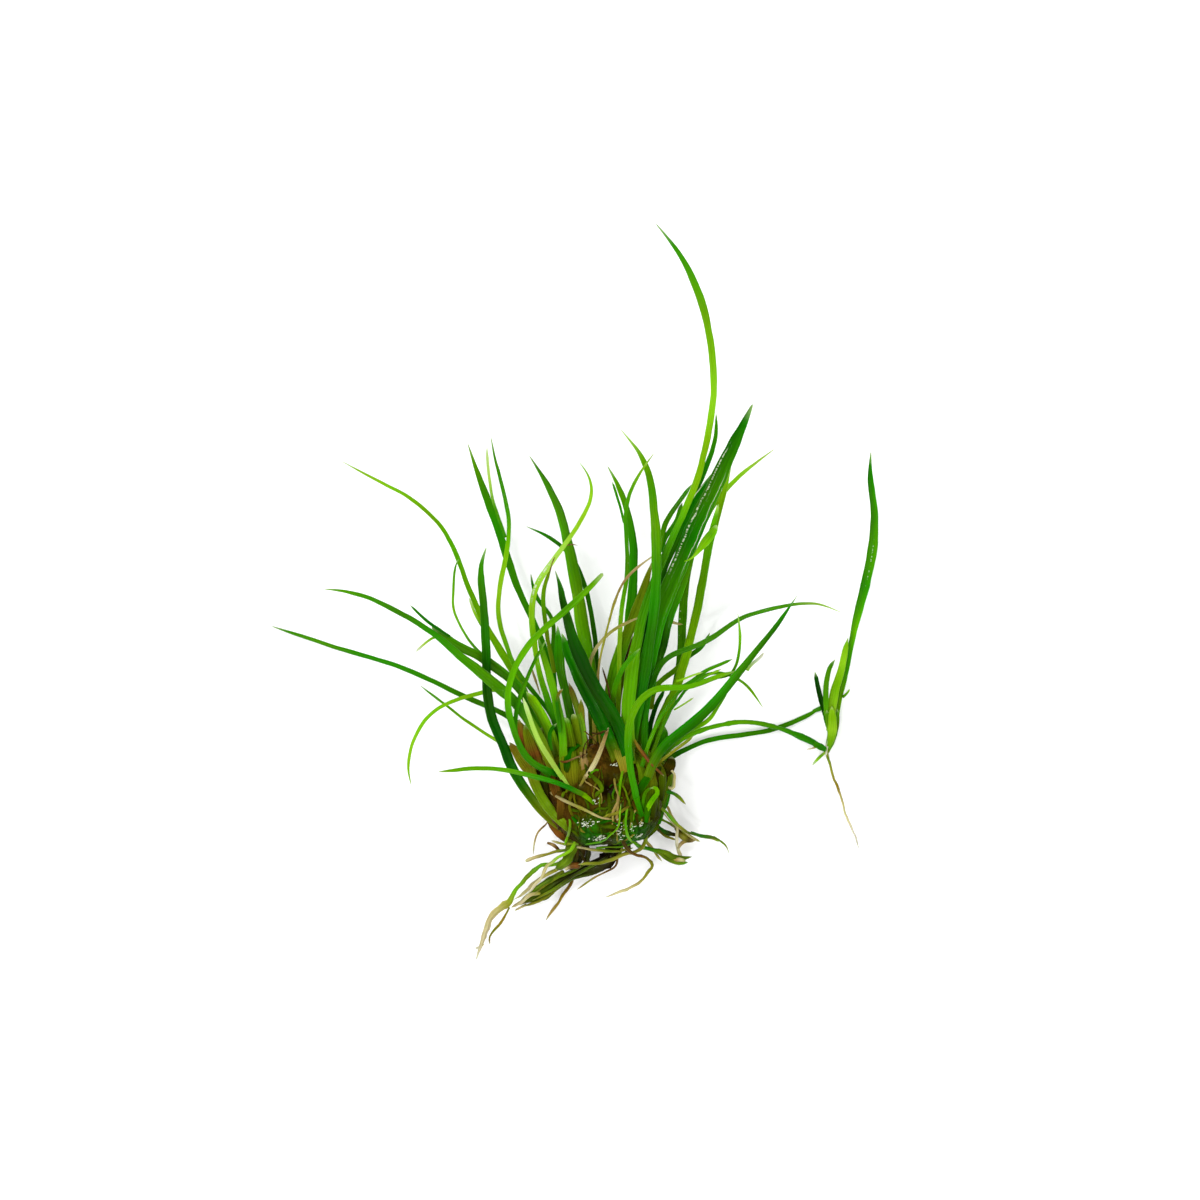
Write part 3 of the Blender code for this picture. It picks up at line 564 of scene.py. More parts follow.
def makeSkin(name, **changes):
    # a growing surface, the look of a leaf with these changes: the marks group on the piece's own tint
    look = {**leafLook, **changes}
    made, tree, shader = newMaterial(name)
    tint, place, across = [addNode(tree, "ShaderNodeAttribute", attribute_name=key).outputs[way]
                           for key, way in (("tint", "Color"), ("place", "Vector"), ("across", "Fac"))]
    marks = addNode(tree, "ShaderNodeGroup", {
        "Tint": tint, "Place": place, "Across": across, "Vein Count": look["veins"],
        "Vein Strength": look["veinStrength"], "Streak Strength": look["streaks"],
        "Edge Light Strength": look["edges"], "Scar Amount": look["scars"],
        "Scar Colour": (*paintOf(look["scarTone"]), 1), "Base Roughness": look["rough"],
    }, node_tree=skinGroup).outputs
    colour = marks["Color"]
    # each glint mixes a whitish painted highlight line into the colour
    for offset, halfWidth, start, end, broken in look.get("glints", ()):
        glint = addNode(tree, "ShaderNodeGroup", {
            "Place": place, "Across": across, "Offset": offset, "Half Width": halfWidth, "Start": start,
            "End": end, "Break": broken}, node_tree=glintGroup).outputs["Mask"]
        colour = mixed(tree, glint, colour, (*paintOf("whitish"), 1))
    finishSkin(tree, shader, marks, colour, look)
    return made


def finishSkin(tree, shader, marks, colour, look):
    bump = addNode(tree, "ShaderNodeBump", {"Height": marks["Height"], "Strength": look["bump"],
                                            "Distance": look["relief"] * mm}).outputs[0]
    fill(tree, shader, {
        "Normal": bump, "Base Color": colour, "Roughness": marks["Roughness"],
        "Specular IOR Level": look["shine"], "Specular Tint": (*look["shineTint"], 1),
        "Coat Weight": look["coat"], "Coat Roughness": look["coatRough"],
        "Subsurface Weight": look.get("glow", 0.0), "Subsurface Radius": (0.5, 1.0, 0.15),
        "Subsurface Scale": 0.3 * mm})


skinGroup = makeSkinGroup()
glintGroup = makeGlintGroup()
wetGroup = makeWetGroup()

leafLook = dict(
    veins=4.0,         # veins across a leaf, and how much they lighten and darken it
    veinStrength=0.14,
    streaks=0.42,
    edges=0.30,        # how much paler the edges are painted, as light shining through them
    scars=0.30,
    scarTone="mint",
    rough=0.36,
    bump=0.35,         # strength of the relief, and its height in millimetres
    relief=0.06,
    coat=0.03,
    coatRough=0.12,
    glow=0.10,         # light that passes into the leaf
    shine=0.13,
    shineTint=(0.40, 0.88, 0.02),
)
# glints are painted highlights, pale lines: how far off the middle, half width, from and to which
# millimetre, how broken
skins = {
    "leaf_dark": makeSkin("leafDarkSkin", scars=0.10, edges=0.4, shine=0.09),
    "leaf_mid": makeSkin("leafMidSkin", scars=0.18),
    "broadLeaf": makeSkin("broadLeafSkin", scars=0.05, glints=[
        (-0.66, 0.12, 21.5, 37.5, 0.62), (0.62, 0.035, 22.0, 34.5, 0.25)]),
    "kinkedLeaf": makeSkin("kinkedLeafSkin", glints=[(-0.55, 0.20, 14.5, 20.0, 0.95)]),
    "shadedLeaf": makeSkin("shadedLeafSkin", scars=0.05, glints=[(-0.85, 0.13, 24.5, 33.0, 0.2)]),
    "swanLeaf": makeSkin("swanLeafSkin", scarTone="whitish", glints=[(-0.35, 0.45, 18.5, 24.0, 0.6)]),
    "plantletLeaf": makeSkin("plantletLeafSkin", glints=[(0.10, 0.14, 14.5, 20.5, 0.85)]),
    "leaf_bright": makeSkin("leafBrightSkin", scars=0.4),
    "leaf_pale": makeSkin("leafPaleSkin", scarTone="whitish", scars=0.5),
    "leaf_olive": makeSkin("leafOliveSkin", scarTone="rust", scars=0.55, streaks=0.7),
    "dry_leaf": makeSkin("dryLeafSkin", veinStrength=0.45, streaks=1.3, edges=0.15, scarTone="umber",
                         scars=0.7, rough=0.55, coat=0.04, bump=0.8, relief=0.08, shineTint=(0.9, 0.8, 0.5)),
    "root_cream": makeSkin("rootCreamSkin", veins=2.0, streaks=0.8, scarTone="olive", scars=0.6, bump=0.8,
                           glow=0.2, shineTint=(0.9, 0.8, 0.4)),
    "root_green": makeSkin("rootGreenSkin", veins=3.0, streaks=0.9, scarTone="khaki", scars=0.6, bump=0.8,
                           shineTint=(0.7, 0.8, 0.2)),
}

print("colours and skins ready")


def grown(layers, widths, tones, route, **settings):
    # a piece from base to tip: layers counted up from the floor, widths, tones, and its route as "x y, x y"
    # Settings: skin; drape, its height over the crown; tuck, how deep its end goes into the crown; blunt;
    # fold, crease and channel of its section; half, how much brighter the right half is painted, as painted
    # light and shade across the fold; roll in degrees along it; ripple and wave, its drift; fade, how pale
    # its tip is; cords and twist of a bundle.
    def numbers(words):
        return [float(word) for word in words.split()]

    return dict(layers=numbers(layers), widths=numbers(widths), tones=tones,
                route=[numbers(point) for point in route.split(",")], **settings)


def growAll(pieces, maker, spacing, sides):
    # the parts of a group that shares one mesh
    return [maker({"name": name, **piece}, spacing, sides) for name, piece in pieces.items()]


# Leaves of the left half. Each is named as the solid that it replaces, in the next four groups too.
leftLeaves = {
    "leaf_left_bow": grown("8 2", "1.1 1 0.6 0.45 0.3", "moss fresh bright fresh fresh bright lime",
        "-4.5 2.5, -6.8 7.5, -9.3 13.8, -12.1 18.3, -15.05 24.95, -17.4 29.9, -19.87 32.45, -24 34.9, "
        "-28.3 37.2", skin="leaf_bright", roll=(0, 10, -15, 0)),
    "leaf_left_long": grown("18 18", "1.1 1.15 1.2 1.2 0.7 0.6 0.5 0.4",
        "olive moss leafGreen grass grass leafGreen leafGreen grass fresh",
        "-4.9 2.6, -8.5 9.8, -10.4 11.75, -12.2 13.3, -14.2 14.98, -16.2 16.55, -17.9 18.02, -20.9 20.05, "
        "-24.05 21.65, -27.5 22.88, -30.1 23.2", skin="leaf_mid", drape=0.1, roll=(0, -12, 8)),
    "leaf_left_broken": grown("14 13 12.3 12.8 14.6 16", "0.8 0.9 1 1.05 1 0.8",
        "moss leafGreen grass leafGreen leafGreen grass grass fresh",
        "-4.8 3.4, -6.6 7.6, -8 11, -9.6 13.1, -11 14.2, -12.3 15.15, -13.4 15.9, -14.6 16.5, -16.8 17.85, "
        "-18.3 19.1", skin="leaf_pale", blunt=True, half=0.2, drape=0.1),
    "leaf_left_low": grown("10 0", "0.9 0.6 0.55 0.5 0.4",
        "moss bottle leafGreen leafGreen leafGreen leafGreen grass leafGreen",
        "-5 3.6, -10.3 9.3, -14.3 11.1, -20.9 14.2, -25.8 15.8, -30.7 17.3, -36.05 19.05", skin="leaf_dark",
        roll=(0, 10)),
    "leaf_left_wisp": grown("11 5", "0.6 0.4 0.3 0.28", "bright lime bright fresh grass",
        "-6 3.3, -9 5.2, -11.8 6.8, -16.9 10.35, -19.7 12.5", skin="leaf_bright"),
    "leaf_left_hook": grown("12 6", "0.7 0.5 0.45 0.4 0.35", "moss fresh bright bright bright lime bright",
        "-5.2 3.8, -8.6 9.6, -10.3 11.5, -11.5 12.1, -12.9 11.88, -15.6 11.1, -18.5 9.5, -20.65 6.2, "
        "-21.1 3.3, -20.8 1.7", skin="leaf_bright"),
    "leaf_left_blade": grown("9 18", "0.9 1.1 1.1 1 0.9 0.6",
        "olive moss bottle deep deep deep deep bottle bottle leafGreen grass",
        "-4 -3.2, -6.1 -1.5, -7.9 0.7, -9.4 3.1, -10.65 5.95, -11.7 8.5, -12.5 15.5, -12.9 22.8, "
        "-13.05 25.5, -12.5 27.6", skin="leaf_dark", fold=0.28),
    "leaf_left_wave": grown("10 11", "0.7 0.5 0.5 0.55 0.45 0.35",
        "moss leafGreen leafGreen fresh bright lime bright grass leafGreen grass",
        "-4.2 3.5, -5.1 8.7, -8.85 13.9, -10.55 17.7, -11.15 20.6, -11.03 23.2, -10.52 26, -9.97 30.1, "
        "-10.4 33, -11.35 36.8, -11.95 39.75", skin="leaf_bright"),
    "leaf_left_upright": grown("5 3", "0.8 0.6 0.6 0.85 0.9 0.4",
        "moss leafGreen bottle leafGreen leafGreen leafGreen leafGreen fresh",
        "-3.6 3.5, -5 12, -6.6 18.1, -8.75 22.6, -10.75 28.4, -13.05 34.8, -14.55 39.15", skin="leaf_dark",
        roll=(0, 15, -10)),
    "leaf_back_tall": grown("6 8", "1.3 1.35 1.45 1.3 0.9 0.4",
        "moss moss fresh fresh fresh grass grass leafGreen leafGreen",
        "-0.6 5, -0.9 13, -1.7 17.9, -2.7 24, -3.75 29.2, -5.1 33.3, -7.7 37.75", skin="leaf_mid", half=-0.3,
        fold=0.25),
    "leaf_swan_neck": grown("13 14", "0.6 0.75 0.6 0.7 0.6 0.45 0.35",
        "moss leafGreen grass bright bright lime pale lime lime bright",
        "-4 3.5, -4.7 7.5, -6.2 12.4, -7.3 17.7, -7.1 23, -5.42 25.98, -2.6 29.9, -0.96 33.9, -1.42 35.9, "
        "-2.15 36.95", skin="swanLeaf", roll=(0, -15, 20, 0)),
    "leaf_back_hooked": grown("4 5", "0.6 0.55 0.55 0.5 0.35",
        "moss fresh grass leafGreen leafGreen bottle leafGreen",
        "-0.2 5, -0.3 13.5, -0.8 19.5, -1.5 23, -3.4 27, -5.45 28.8, -8 30.05", skin="leaf_dark"),
    "leaf_front_cross": grown("19.5 22 21.5 20.5 20", "0.7 0.7 0.7 0.7 0.65",
        "bottle leafGreen leafGreen grass fresh fresh fresh fresh grass fresh fresh",
        "-4.4 2.8, -7.9 4.6, -9.6 8.3, -10.15 11.2, -9.45 14.2, -6.65 18.35, -3.3 21.25, 0.22 24.8",
        skin="leaf_mid", blunt=True, drape=0.15, half=0.15),
    "leaf_front_cross_mate": grown("17.5 20 19 18", "0.5 0.5 0.45 0.35",
        "leafGreen grass leafGreen leafGreen grass leafGreen fresh",
        "-4.8 2.2, -7.4 4.3, -9.1 6.8, -9.1 10, -8 13.5, -6 17.5", skin="leaf_bright", drape=0.1, half=0.3),
    "leaf_front_dark": grown("19 18", "1.3 1.4 1.4 1.45 1.45 1.15 0.75 0.4",
        "bottle deep deep ink ink deep deep bottle",
        "3.2 4.3, 2 8.2, -0.15 11.8, -2.3 16, -3.08 18, -3.6 20, -3.97 21.6, -4.3 23.2, -4.87 25.1",
        skin="leaf_dark", drape=0.1, half=0.35, fold=0.3),
    "leaf_front_short": grown("16 15", "1.2 1.5 1.5 0.8", "olive bottle deep deep bottle leafGreen",
        "2 4, 1.1 6.5, -0.8 10.6, -2.65 14.3, -4.15 18.2", skin="leaf_dark", drape=0.05, half=0.2),
    "leaf_olive": grown("11 11", "1.1 1.05 0.95 1 1.05 0.7", "moss grass leafGreen leafGreen leafGreen",
        "-2.7 3.5, -2.95 7.6, -3.85 12.1, -4.38 14.6, -4.53 17, -4.65 19", skin="leaf_olive"),
    "leaf_front_bright": grown("17 17", "0.9 0.9 0.9 0.5", "moss fresh grass fresh fresh leafGreen",
        "-4 3.2, -4.35 8.8, -5.45 13.3, -6.8 17.8", skin="leaf_bright", drape=0.1),
    "leaf_sheath_olive": grown("15 15", "1.1 1.2 0.9", "olive moss bright bright bright",
        "-4.5 3.5, -6.05 8.65, -8 11.8", skin="leaf_olive", half=0.5, drape=0.1),
    "leaf_front_pale": grown("19 23 22", "0.55 0.55 0.5", "lime pale pale pale mint",
        "-3.6 1.7, -5.75 4.9, -7.3 8, -8.4 11.2", skin="leaf_pale", drape=0.2, fold=0.05),
    "leaf_side_thread": grown("20 24 20 15 10", "0.55 0.55 0.5 0.4",
        "moss bottle leafGreen grass fresh fresh fresh bright",
        "-1.1 0.3, -4.8 1.95, -8.9 3.05, -12.4 3.5, -17.7 3.1", skin="leaf_bright", drape=0.2),
    "leaf_olive_strip": grown("11 16 15 9", "1 1.1 1.1 0.8", "moss moss moss olive olive",
        "-3.2 -3.2, -5.3 -1.25, -7.1 1.8, -8.2 6", skin="leaf_olive", drape=0.15),
}

# Leaves of the right half
rightLeaves = {
    "leaf_tallest": grown("17 18", "1.5 1.5 0.9 0.72 0.72 0.75 0.88 0.5",
        "moss fresh fresh grass leafGreen grass bright bright lime bright fresh grass leafGreen",
        "3.2 4, 3 8, 3.3 12.5, 4.9 21, 7.1 26.95, 10.45 34.75, 11.87 40.3, 12.43 46.5, 11.5 53, 9.33 58.7, "
        "6.2 62.95", skin="leaf_bright", fold=0.2),
    "leaf_broad": grown("13 14", "1.2 1.5 1.8 1.9 2 1.6 0.95",
        "moss grass leafGreen leafGreen leafGreen bottle leafGreen bottle bottle",
        "4 3.5, 4.3 8, 4.9 13.2, 6.45 20.1, 8.75 26.05, 11.9 33.1, 15.15 40.05, 16.65 43.3", skin="broadLeaf",
        crease=-0.2, fold=0.3, half=0.3, channel=0.45),
    "leaf_broad_shaded": grown("11 11", "1.2 1.3 1.3 1", "bottle deep ink deep bottle bottle",
        "3.4 4, 3.9 9, 4.8 15.2, 6.35 24.1, 9.3 30.65, 12.6 36.1", skin="shadedLeaf"),
    "leaf_right_kinked": grown("5 6", "0.9 0.95 1 0.85 0.55 0.35",
        "moss leafGreen leafGreen grass grass fresh bright lime pale",
        "4.9 3.8, 6.1 7, 7.05 9, 7.95 11, 9 17.3, 9.6 25, 11.3 30.3, 13.5 33.75, 16.45 36.55, 19.05 38.5",
        skin="kinkedLeaf", roll=(0, 20, -10)),
    "leaf_right_straight": grown("8 8", "1 1 0.95 0.92 0.85 0.5",
        "moss fresh fresh bright bright fresh fresh fresh bright lime",
        "4.8 3.5, 6.7 8.8, 8.65 13, 9.2 15, 10.62 20.5, 11.85 27.3, 13.15 32.2, 14.4 36.8", skin="leaf_mid"),
    "leaf_middle_curl": grown("15.3 15.6 19.5 19.7 17.5 15", "1 1.05 1.1 1.1 1.15 0.78 0.3",
        "moss leafGreen bottle bottle bottle leafGreen grass fresh grass fresh pale",
        "3 4, 4.8 13, 5.8 20, 6.2 26.7, 5.9 31.8, 5.1 36.5, 2.35 40.6", skin="leaf_mid", roll=(0, 0, -20, 0)),
    "leaf_middle_wave": grown("12 12 12.5 15.5 19.5", "0.6 0.5 0.5 0.45 0.35",
        "moss moss bright lime fresh grass grass fresh lime",
        "1.6 4.6, 2.1 13, 2.35 20.5, 2.93 24.75, 2.93 28, 3.15 33.35, 5.8 37.9", skin="leaf_pale"),
    "leaf_middle_dark": grown("7 6", "1 1 1.1 0.85 0.5",
        "khaki khaki moss grass leafGreen leafGreen grass fresh",
        "1.2 4.6, 2 12, 3.45 21.5, 3.4 29.9, 2.3 33.9, 0.9 36.6", skin="leaf_dark", half=-0.2),
    "leaf_yellow": grown("10 10", "1.1 1.35 1.35 1.1 0.6", "olive moss fresh fresh moss moss olive",
        "0.6 4.6, 0.95 10.5, 1.75 14.6, 2.75 17.55, 4.22 21.5, 5.75 26.2", skin="leaf_olive"),
    "leaf_yellow_short": grown("13.5 14 15.5 19.3 20", "0.7 0.6 0.5", "moss fresh grass grass",
        "1.5 4.5, 1.6 12, 3 15.2, 4.3 16.6", skin="leaf_olive"),
    "leaf_arch": grown("19 24 24 22.5 21", "0.7 0.8 0.8 0.6 0.5",
        "leafGreen grass grass fresh fresh fresh fresh bright",
        "4.2 -0.7, 3.3 3.9, 3.1 6.7, 3.4 9.1, 4.65 11.25, 6.7 12.35, 9.3 12.4, 12.35 13.45, 14.9 14.2",
        skin="leaf_bright", drape=0.2),
    "leaf_arch_mate": grown("18 17", "0.5 0.35 0.35 0.3",
        "leafGreen fresh grass leafGreen grass fresh bright",
        "4.4 3, 7.5 10.5, 9.5 12.6, 12.9 14, 15.2 13.3, 17.8 10.3", skin="leaf_bright", drape=0.1),
    "leaf_right_reach": grown("15 14", "0.7 0.6 0.6 0.45 0.25",
        "leafGreen bottle bottle leafGreen leafGreen grass pale",
        "5 3.9, 5.6 12.5, 7.2 15.4, 11.35 17.35, 15.2 19.78, 20.15 21.33, 24.05 21.5, 26.3 20.7",
        skin="leaf_mid", drape=0.1),
    "leaf_right_dark": grown("18 25", "0.9 1.1 1.1 0.85 0.6 0.3",
        "moss bottle bottle leafGreen leafGreen bottle leafGreen",
        "5 1.8, 7 5.9, 10.55 8.8, 14.8 13.6, 18.35 17.95, 19.9 20.1, 21.45 22.35", skin="leaf_dark",
        drape=0.15, half=-0.3, fold=0.25),
    "leaf_beside_runner": grown("2 0", "0.6 0.55 0.55 0.5", "moss bottle leafGreen leafGreen leafGreen grass",
        "5 2.6, 8.25 4.9, 12.15 6.55, 18 7.5, 21.95 8.8, 24.65 10.3", skin="leaf_dark"),
    "leaf_right_spike": grown("16 21", "0.45 0.33 0.33 0.3", "moss grass bottle leafGreen fresh lime",
        "5.2 3.4, 6.9 8.2, 7.8 10, 8.6 11.05, 9.4 12.1, 10.4 12.75, 12.6 13.45, 14.3 13.95, 15.15 15.75, "
        "15.35 18.05, 15.1 20.4", skin="leaf_mid", drape=0.1),
}

# Leaves of the plantlet at the end of the runner
plantlet = {
    "plantlet_base": grown("0 0", "0.45 0.9 1.1 1.45", "moss fresh moss fresh fresh",
        "25.05 5.2, 25.22 5.8, 25.62 7.1, 25.68 8.45", skin="leaf_bright", blunt=True),
    "plantlet_leaf_tall": grown("0.6 2.5", "0.55 0.55 0.75 1.1 1.05 0.75 0.5",
        "bright fresh grass grass fresh grass leafGreen grass grass leafGreen leafGreen bottle leafGreen",
        "26.1 9.1, 26.45 11.15, 27.12 13.9, 27.9 18.3, 28.97 22.5, 30.2 29.45, 30.25 31.55, 29.75 36.1, "
        "29.85 38.2", skin="plantletLeaf", half=0.35, fold=0.3),
    "plantlet_leaf_sheath": grown("1.8 3", "0.85 1 0.85 0.5", "lime lime bright lime bright",
        "25.35 7.6, 25.45 9.5, 25.72 11.15, 26 12.3, 26.5 13.9, 26.9 16, 27.3 17.7", skin="leaf_bright"),
    "plantlet_leaf_short": grown("2.9 5", "0.5 0.6 0.6 0.45", "fresh grass grass leafGreen",
        "24.95 9.3, 24.9 10.4, 24.93 12.3, 25.06 13.6, 25.3 14.5, 25.82 15.35", skin="leaf_mid"),
    "plantlet_leaf_dark": grown("0 3", "0.55 0.6 0.45", "deep ink ink deep", "24.85 9.3, 24.3 11.35, 23.7 14",
        skin="leaf_dark"),
}

# Dry leaves and a dry stick
dryLeaves = {
    "dry_leaf_curled": grown("13 14.5 14.5", "0.4 0.42 0.3", "gold khaki tan khaki straw khaki straw",
        "-0.5 5, -0.9 11, -1.05 15.1, 1.45 18.7, 4.55 20.15", skin="dry_leaf"),
    "dry_leaf_golden": grown("14 13", "0.8 0.8 0.6", "gold moss bright moss brown",
        "-1.9 3, -1.75 5, -2 8, -3.4 12.8", skin="dry_leaf", drape=0.1),
    "dry_stick": grown("19 21 19", "0.3 0.6 0.45 0.3", "tan cream straw tan rust",
        "-1.95 2.05, -0.4 4.5, 0.9 7.9", skin="dry_leaf", blunt=True, drape=0.25),
}
# A dry thread, the runner and the roots
strands = {
    "dry_thread": grown("13.5 15.5 16.5 16.5", "0.3 0.25 0.3", "gold khaki tan khaki khaki tan straw",
        "0.2 5, -0.3 10, -0.15 14.2, 1.1 20.1, 3.1 24.6, 6.1 27", skin="dry_leaf"),
    "runner": grown("4 1", "0.6 0.55 0.55 0.5 0.85", "moss grass fresh fresh fresh grass leafGreen bottle",
        "5 3, 6.2 4.2, 9 6.6, 12.1 7.95, 16.6 8.5, 19.85 7.85, 22.5 6.8, 23.8 6.12, 24.45 5.75",
        skin="leaf_mid", blunt=True),
    "plantlet_root": grown("0 0", "0.3 0.25 0.2", "moss khaki gold straw cream ivory ivory",
        "25.1 4.7, 25.6 3.1, 26.1 1.5, 26.55 0.35, 26.95 -0.95, 27.35 -2.4, 28.15 -4, 28.5 -5.3",
        skin="root_cream", ripple=0.07, wave=4),
    "root_main": grown("9 0", "0.4 0.4 0.45 0.5 0.5 0.85 0.7 0.55 0.35",
        "moss moss bright fresh moss bright khaki straw cream cream ivory",
        "-2.8 -4.4, -3.7 -6.3, -4.9 -7.15, -6.1 -7.15, -6.9 -7.45, -7.75 -8.2, -8.75 -9.35, -9.55 -10.4, "
        "-10.1 -11.3, -11 -12, -11.75 -12.65, -12.3 -13.6, -12.65 -14.5, -12.9 -15.4, -13.3 -16.6, "
        "-13.65 -17.6", skin="root_cream", ripple=0.07, wave=4),
    "root_left_upper": grown("12 5", "0.4 0.35 0.3", "moss bright lime straw cream ivory",
        "-2.2 -3.6, -3.7 -5.85, -4.5 -6.25, -5.3 -6.85, -5.9 -7.4, -6.3 -8.2, -6.95 -9.15, -7.95 -10.35",
        skin="root_green", ripple=0.06, wave=4),
    "root_left_lower": grown("8 2", "0.4 0.45 0.4 0.3", "moss khaki khaki straw cream",
        "-1.5 -3.9, -3.6 -6.6, -4.4 -7.4, -5.05 -7.8, -5.85 -8.15, -6.5 -8.65, -7.7 -9.65, -8.6 -10.4, "
        "-9.4 -11", skin="root_green", ripple=0.07, wave=4),
    "root_bundle": grown("5 0", "1.2 1.6 1.7 1.2 1.15 1.4 1.1 0.5",
        "soot soot soot bog bog bog weed weed olive",
        "1.6 -4.2, 1.3 -6, 0.2 -7.1, -2.3 -7.8, -3.75 -8.65, -5.1 -9.35, -6.4 -10.35, -7.7 -10.95, "
        "-8.8 -11.6", skin="root_green", cords=0.2, twist=0.35),
    "root_low": grown("2 0", "0.3 0.25 0.4 0.25", "umber brown brown gold tan",
        "-1 -4.4, -3.05 -8.8, -4.1 -10.7, -5.2 -12.1, -5.95 -13.3", skin="root_green", ripple=0.07, wave=4),
    "root_under": grown("11 8", "0.4 0.4 0.35", "moss khaki khaki olive khaki",
        "5.1 -3.9, 4.6 -5.3, 3.5 -5.8, 2.2 -6.1, 1.5 -6.5, 0.2 -6.9, -1.1 -6.97, -2.3 -7.1",
        skin="root_green", ripple=0.07, wave=4),
    "root_curl": grown("15 4", "0.4 0.35 0.35 0.3", "umber mud brown olive khaki straw cream cream",
        "2.3 -3.9, 3.6 -5.9, 5.1 -6.35, 5.8 -7.1, 5.4 -7.9, 4.4 -8.95, 3.1 -9.8, 1.3 -10.5, 0.55 -10.75",
        skin="root_cream", ripple=0.07, wave=4),
    "root_right_upper": grown("13 2", "0.4 0.35 0.3 0.2", "moss moss fresh khaki weed bottle weed moss khaki",
        "5.9 -0.2, 7.1 -1.2, 8.2 -2.4, 9.3 -3.35, 10.3 -3.8, 11.3 -4.05, 12.4 -4.1, 13.3 -4.55, 13.9 -5.1, "
        "14.2 -5.9", skin="root_cream", ripple=0.07, wave=4),
    "root_right_drooping": grown("10 1", "0.3 0.3 0.25 0.35 0.45 0.3",
        "khaki tan khaki straw ivory cream tan",
        "6.2 0.4, 7.4 -0.7, 7.9 -1.7, 8.35 -2.75, 8.55 -3.5, 8.48 -4.5, 8.65 -5.6, 8.9 -6.4, 9.05 -7.15",
        skin="root_cream", ripple=0.07, wave=4),
    "root_right_lower": grown("9 4", "0.4 0.4 0.45 0.7 0.7 0.4", "fresh grass leafGreen moss weed moss",
        "3 -3.6, 4.1 -4.95, 5.5 -5.4, 6.6 -5.75, 7.6 -6.15, 8.8 -6.4, 10.1 -6.3", skin="root_green",
        ripple=0.07, wave=4),
}

# Leaves with marks of their own, and the name of a plainer skin for each one
slotOf = {"broadLeaf": "leaf_dark", "shadedLeaf": "leaf_dark", "kinkedLeaf": "leaf_mid",
          "swanLeaf": "leaf_pale", "plantletLeaf": "leaf_mid"}

for group in (leftLeaves, rightLeaves, plantlet, dryLeaves, strands):
    maker, ending = (roundStrand, "_strand") if group is strands else (leafBlade, "_blade")
    for node, piece in group.items():
        part, skin = maker({"name": node, **piece}), piece["skin"]
        putPiece(node + ending, [part], skins[skin], slotOf.get(skin, skin), node)
    print("made", len(group), "pieces ending in", ending)


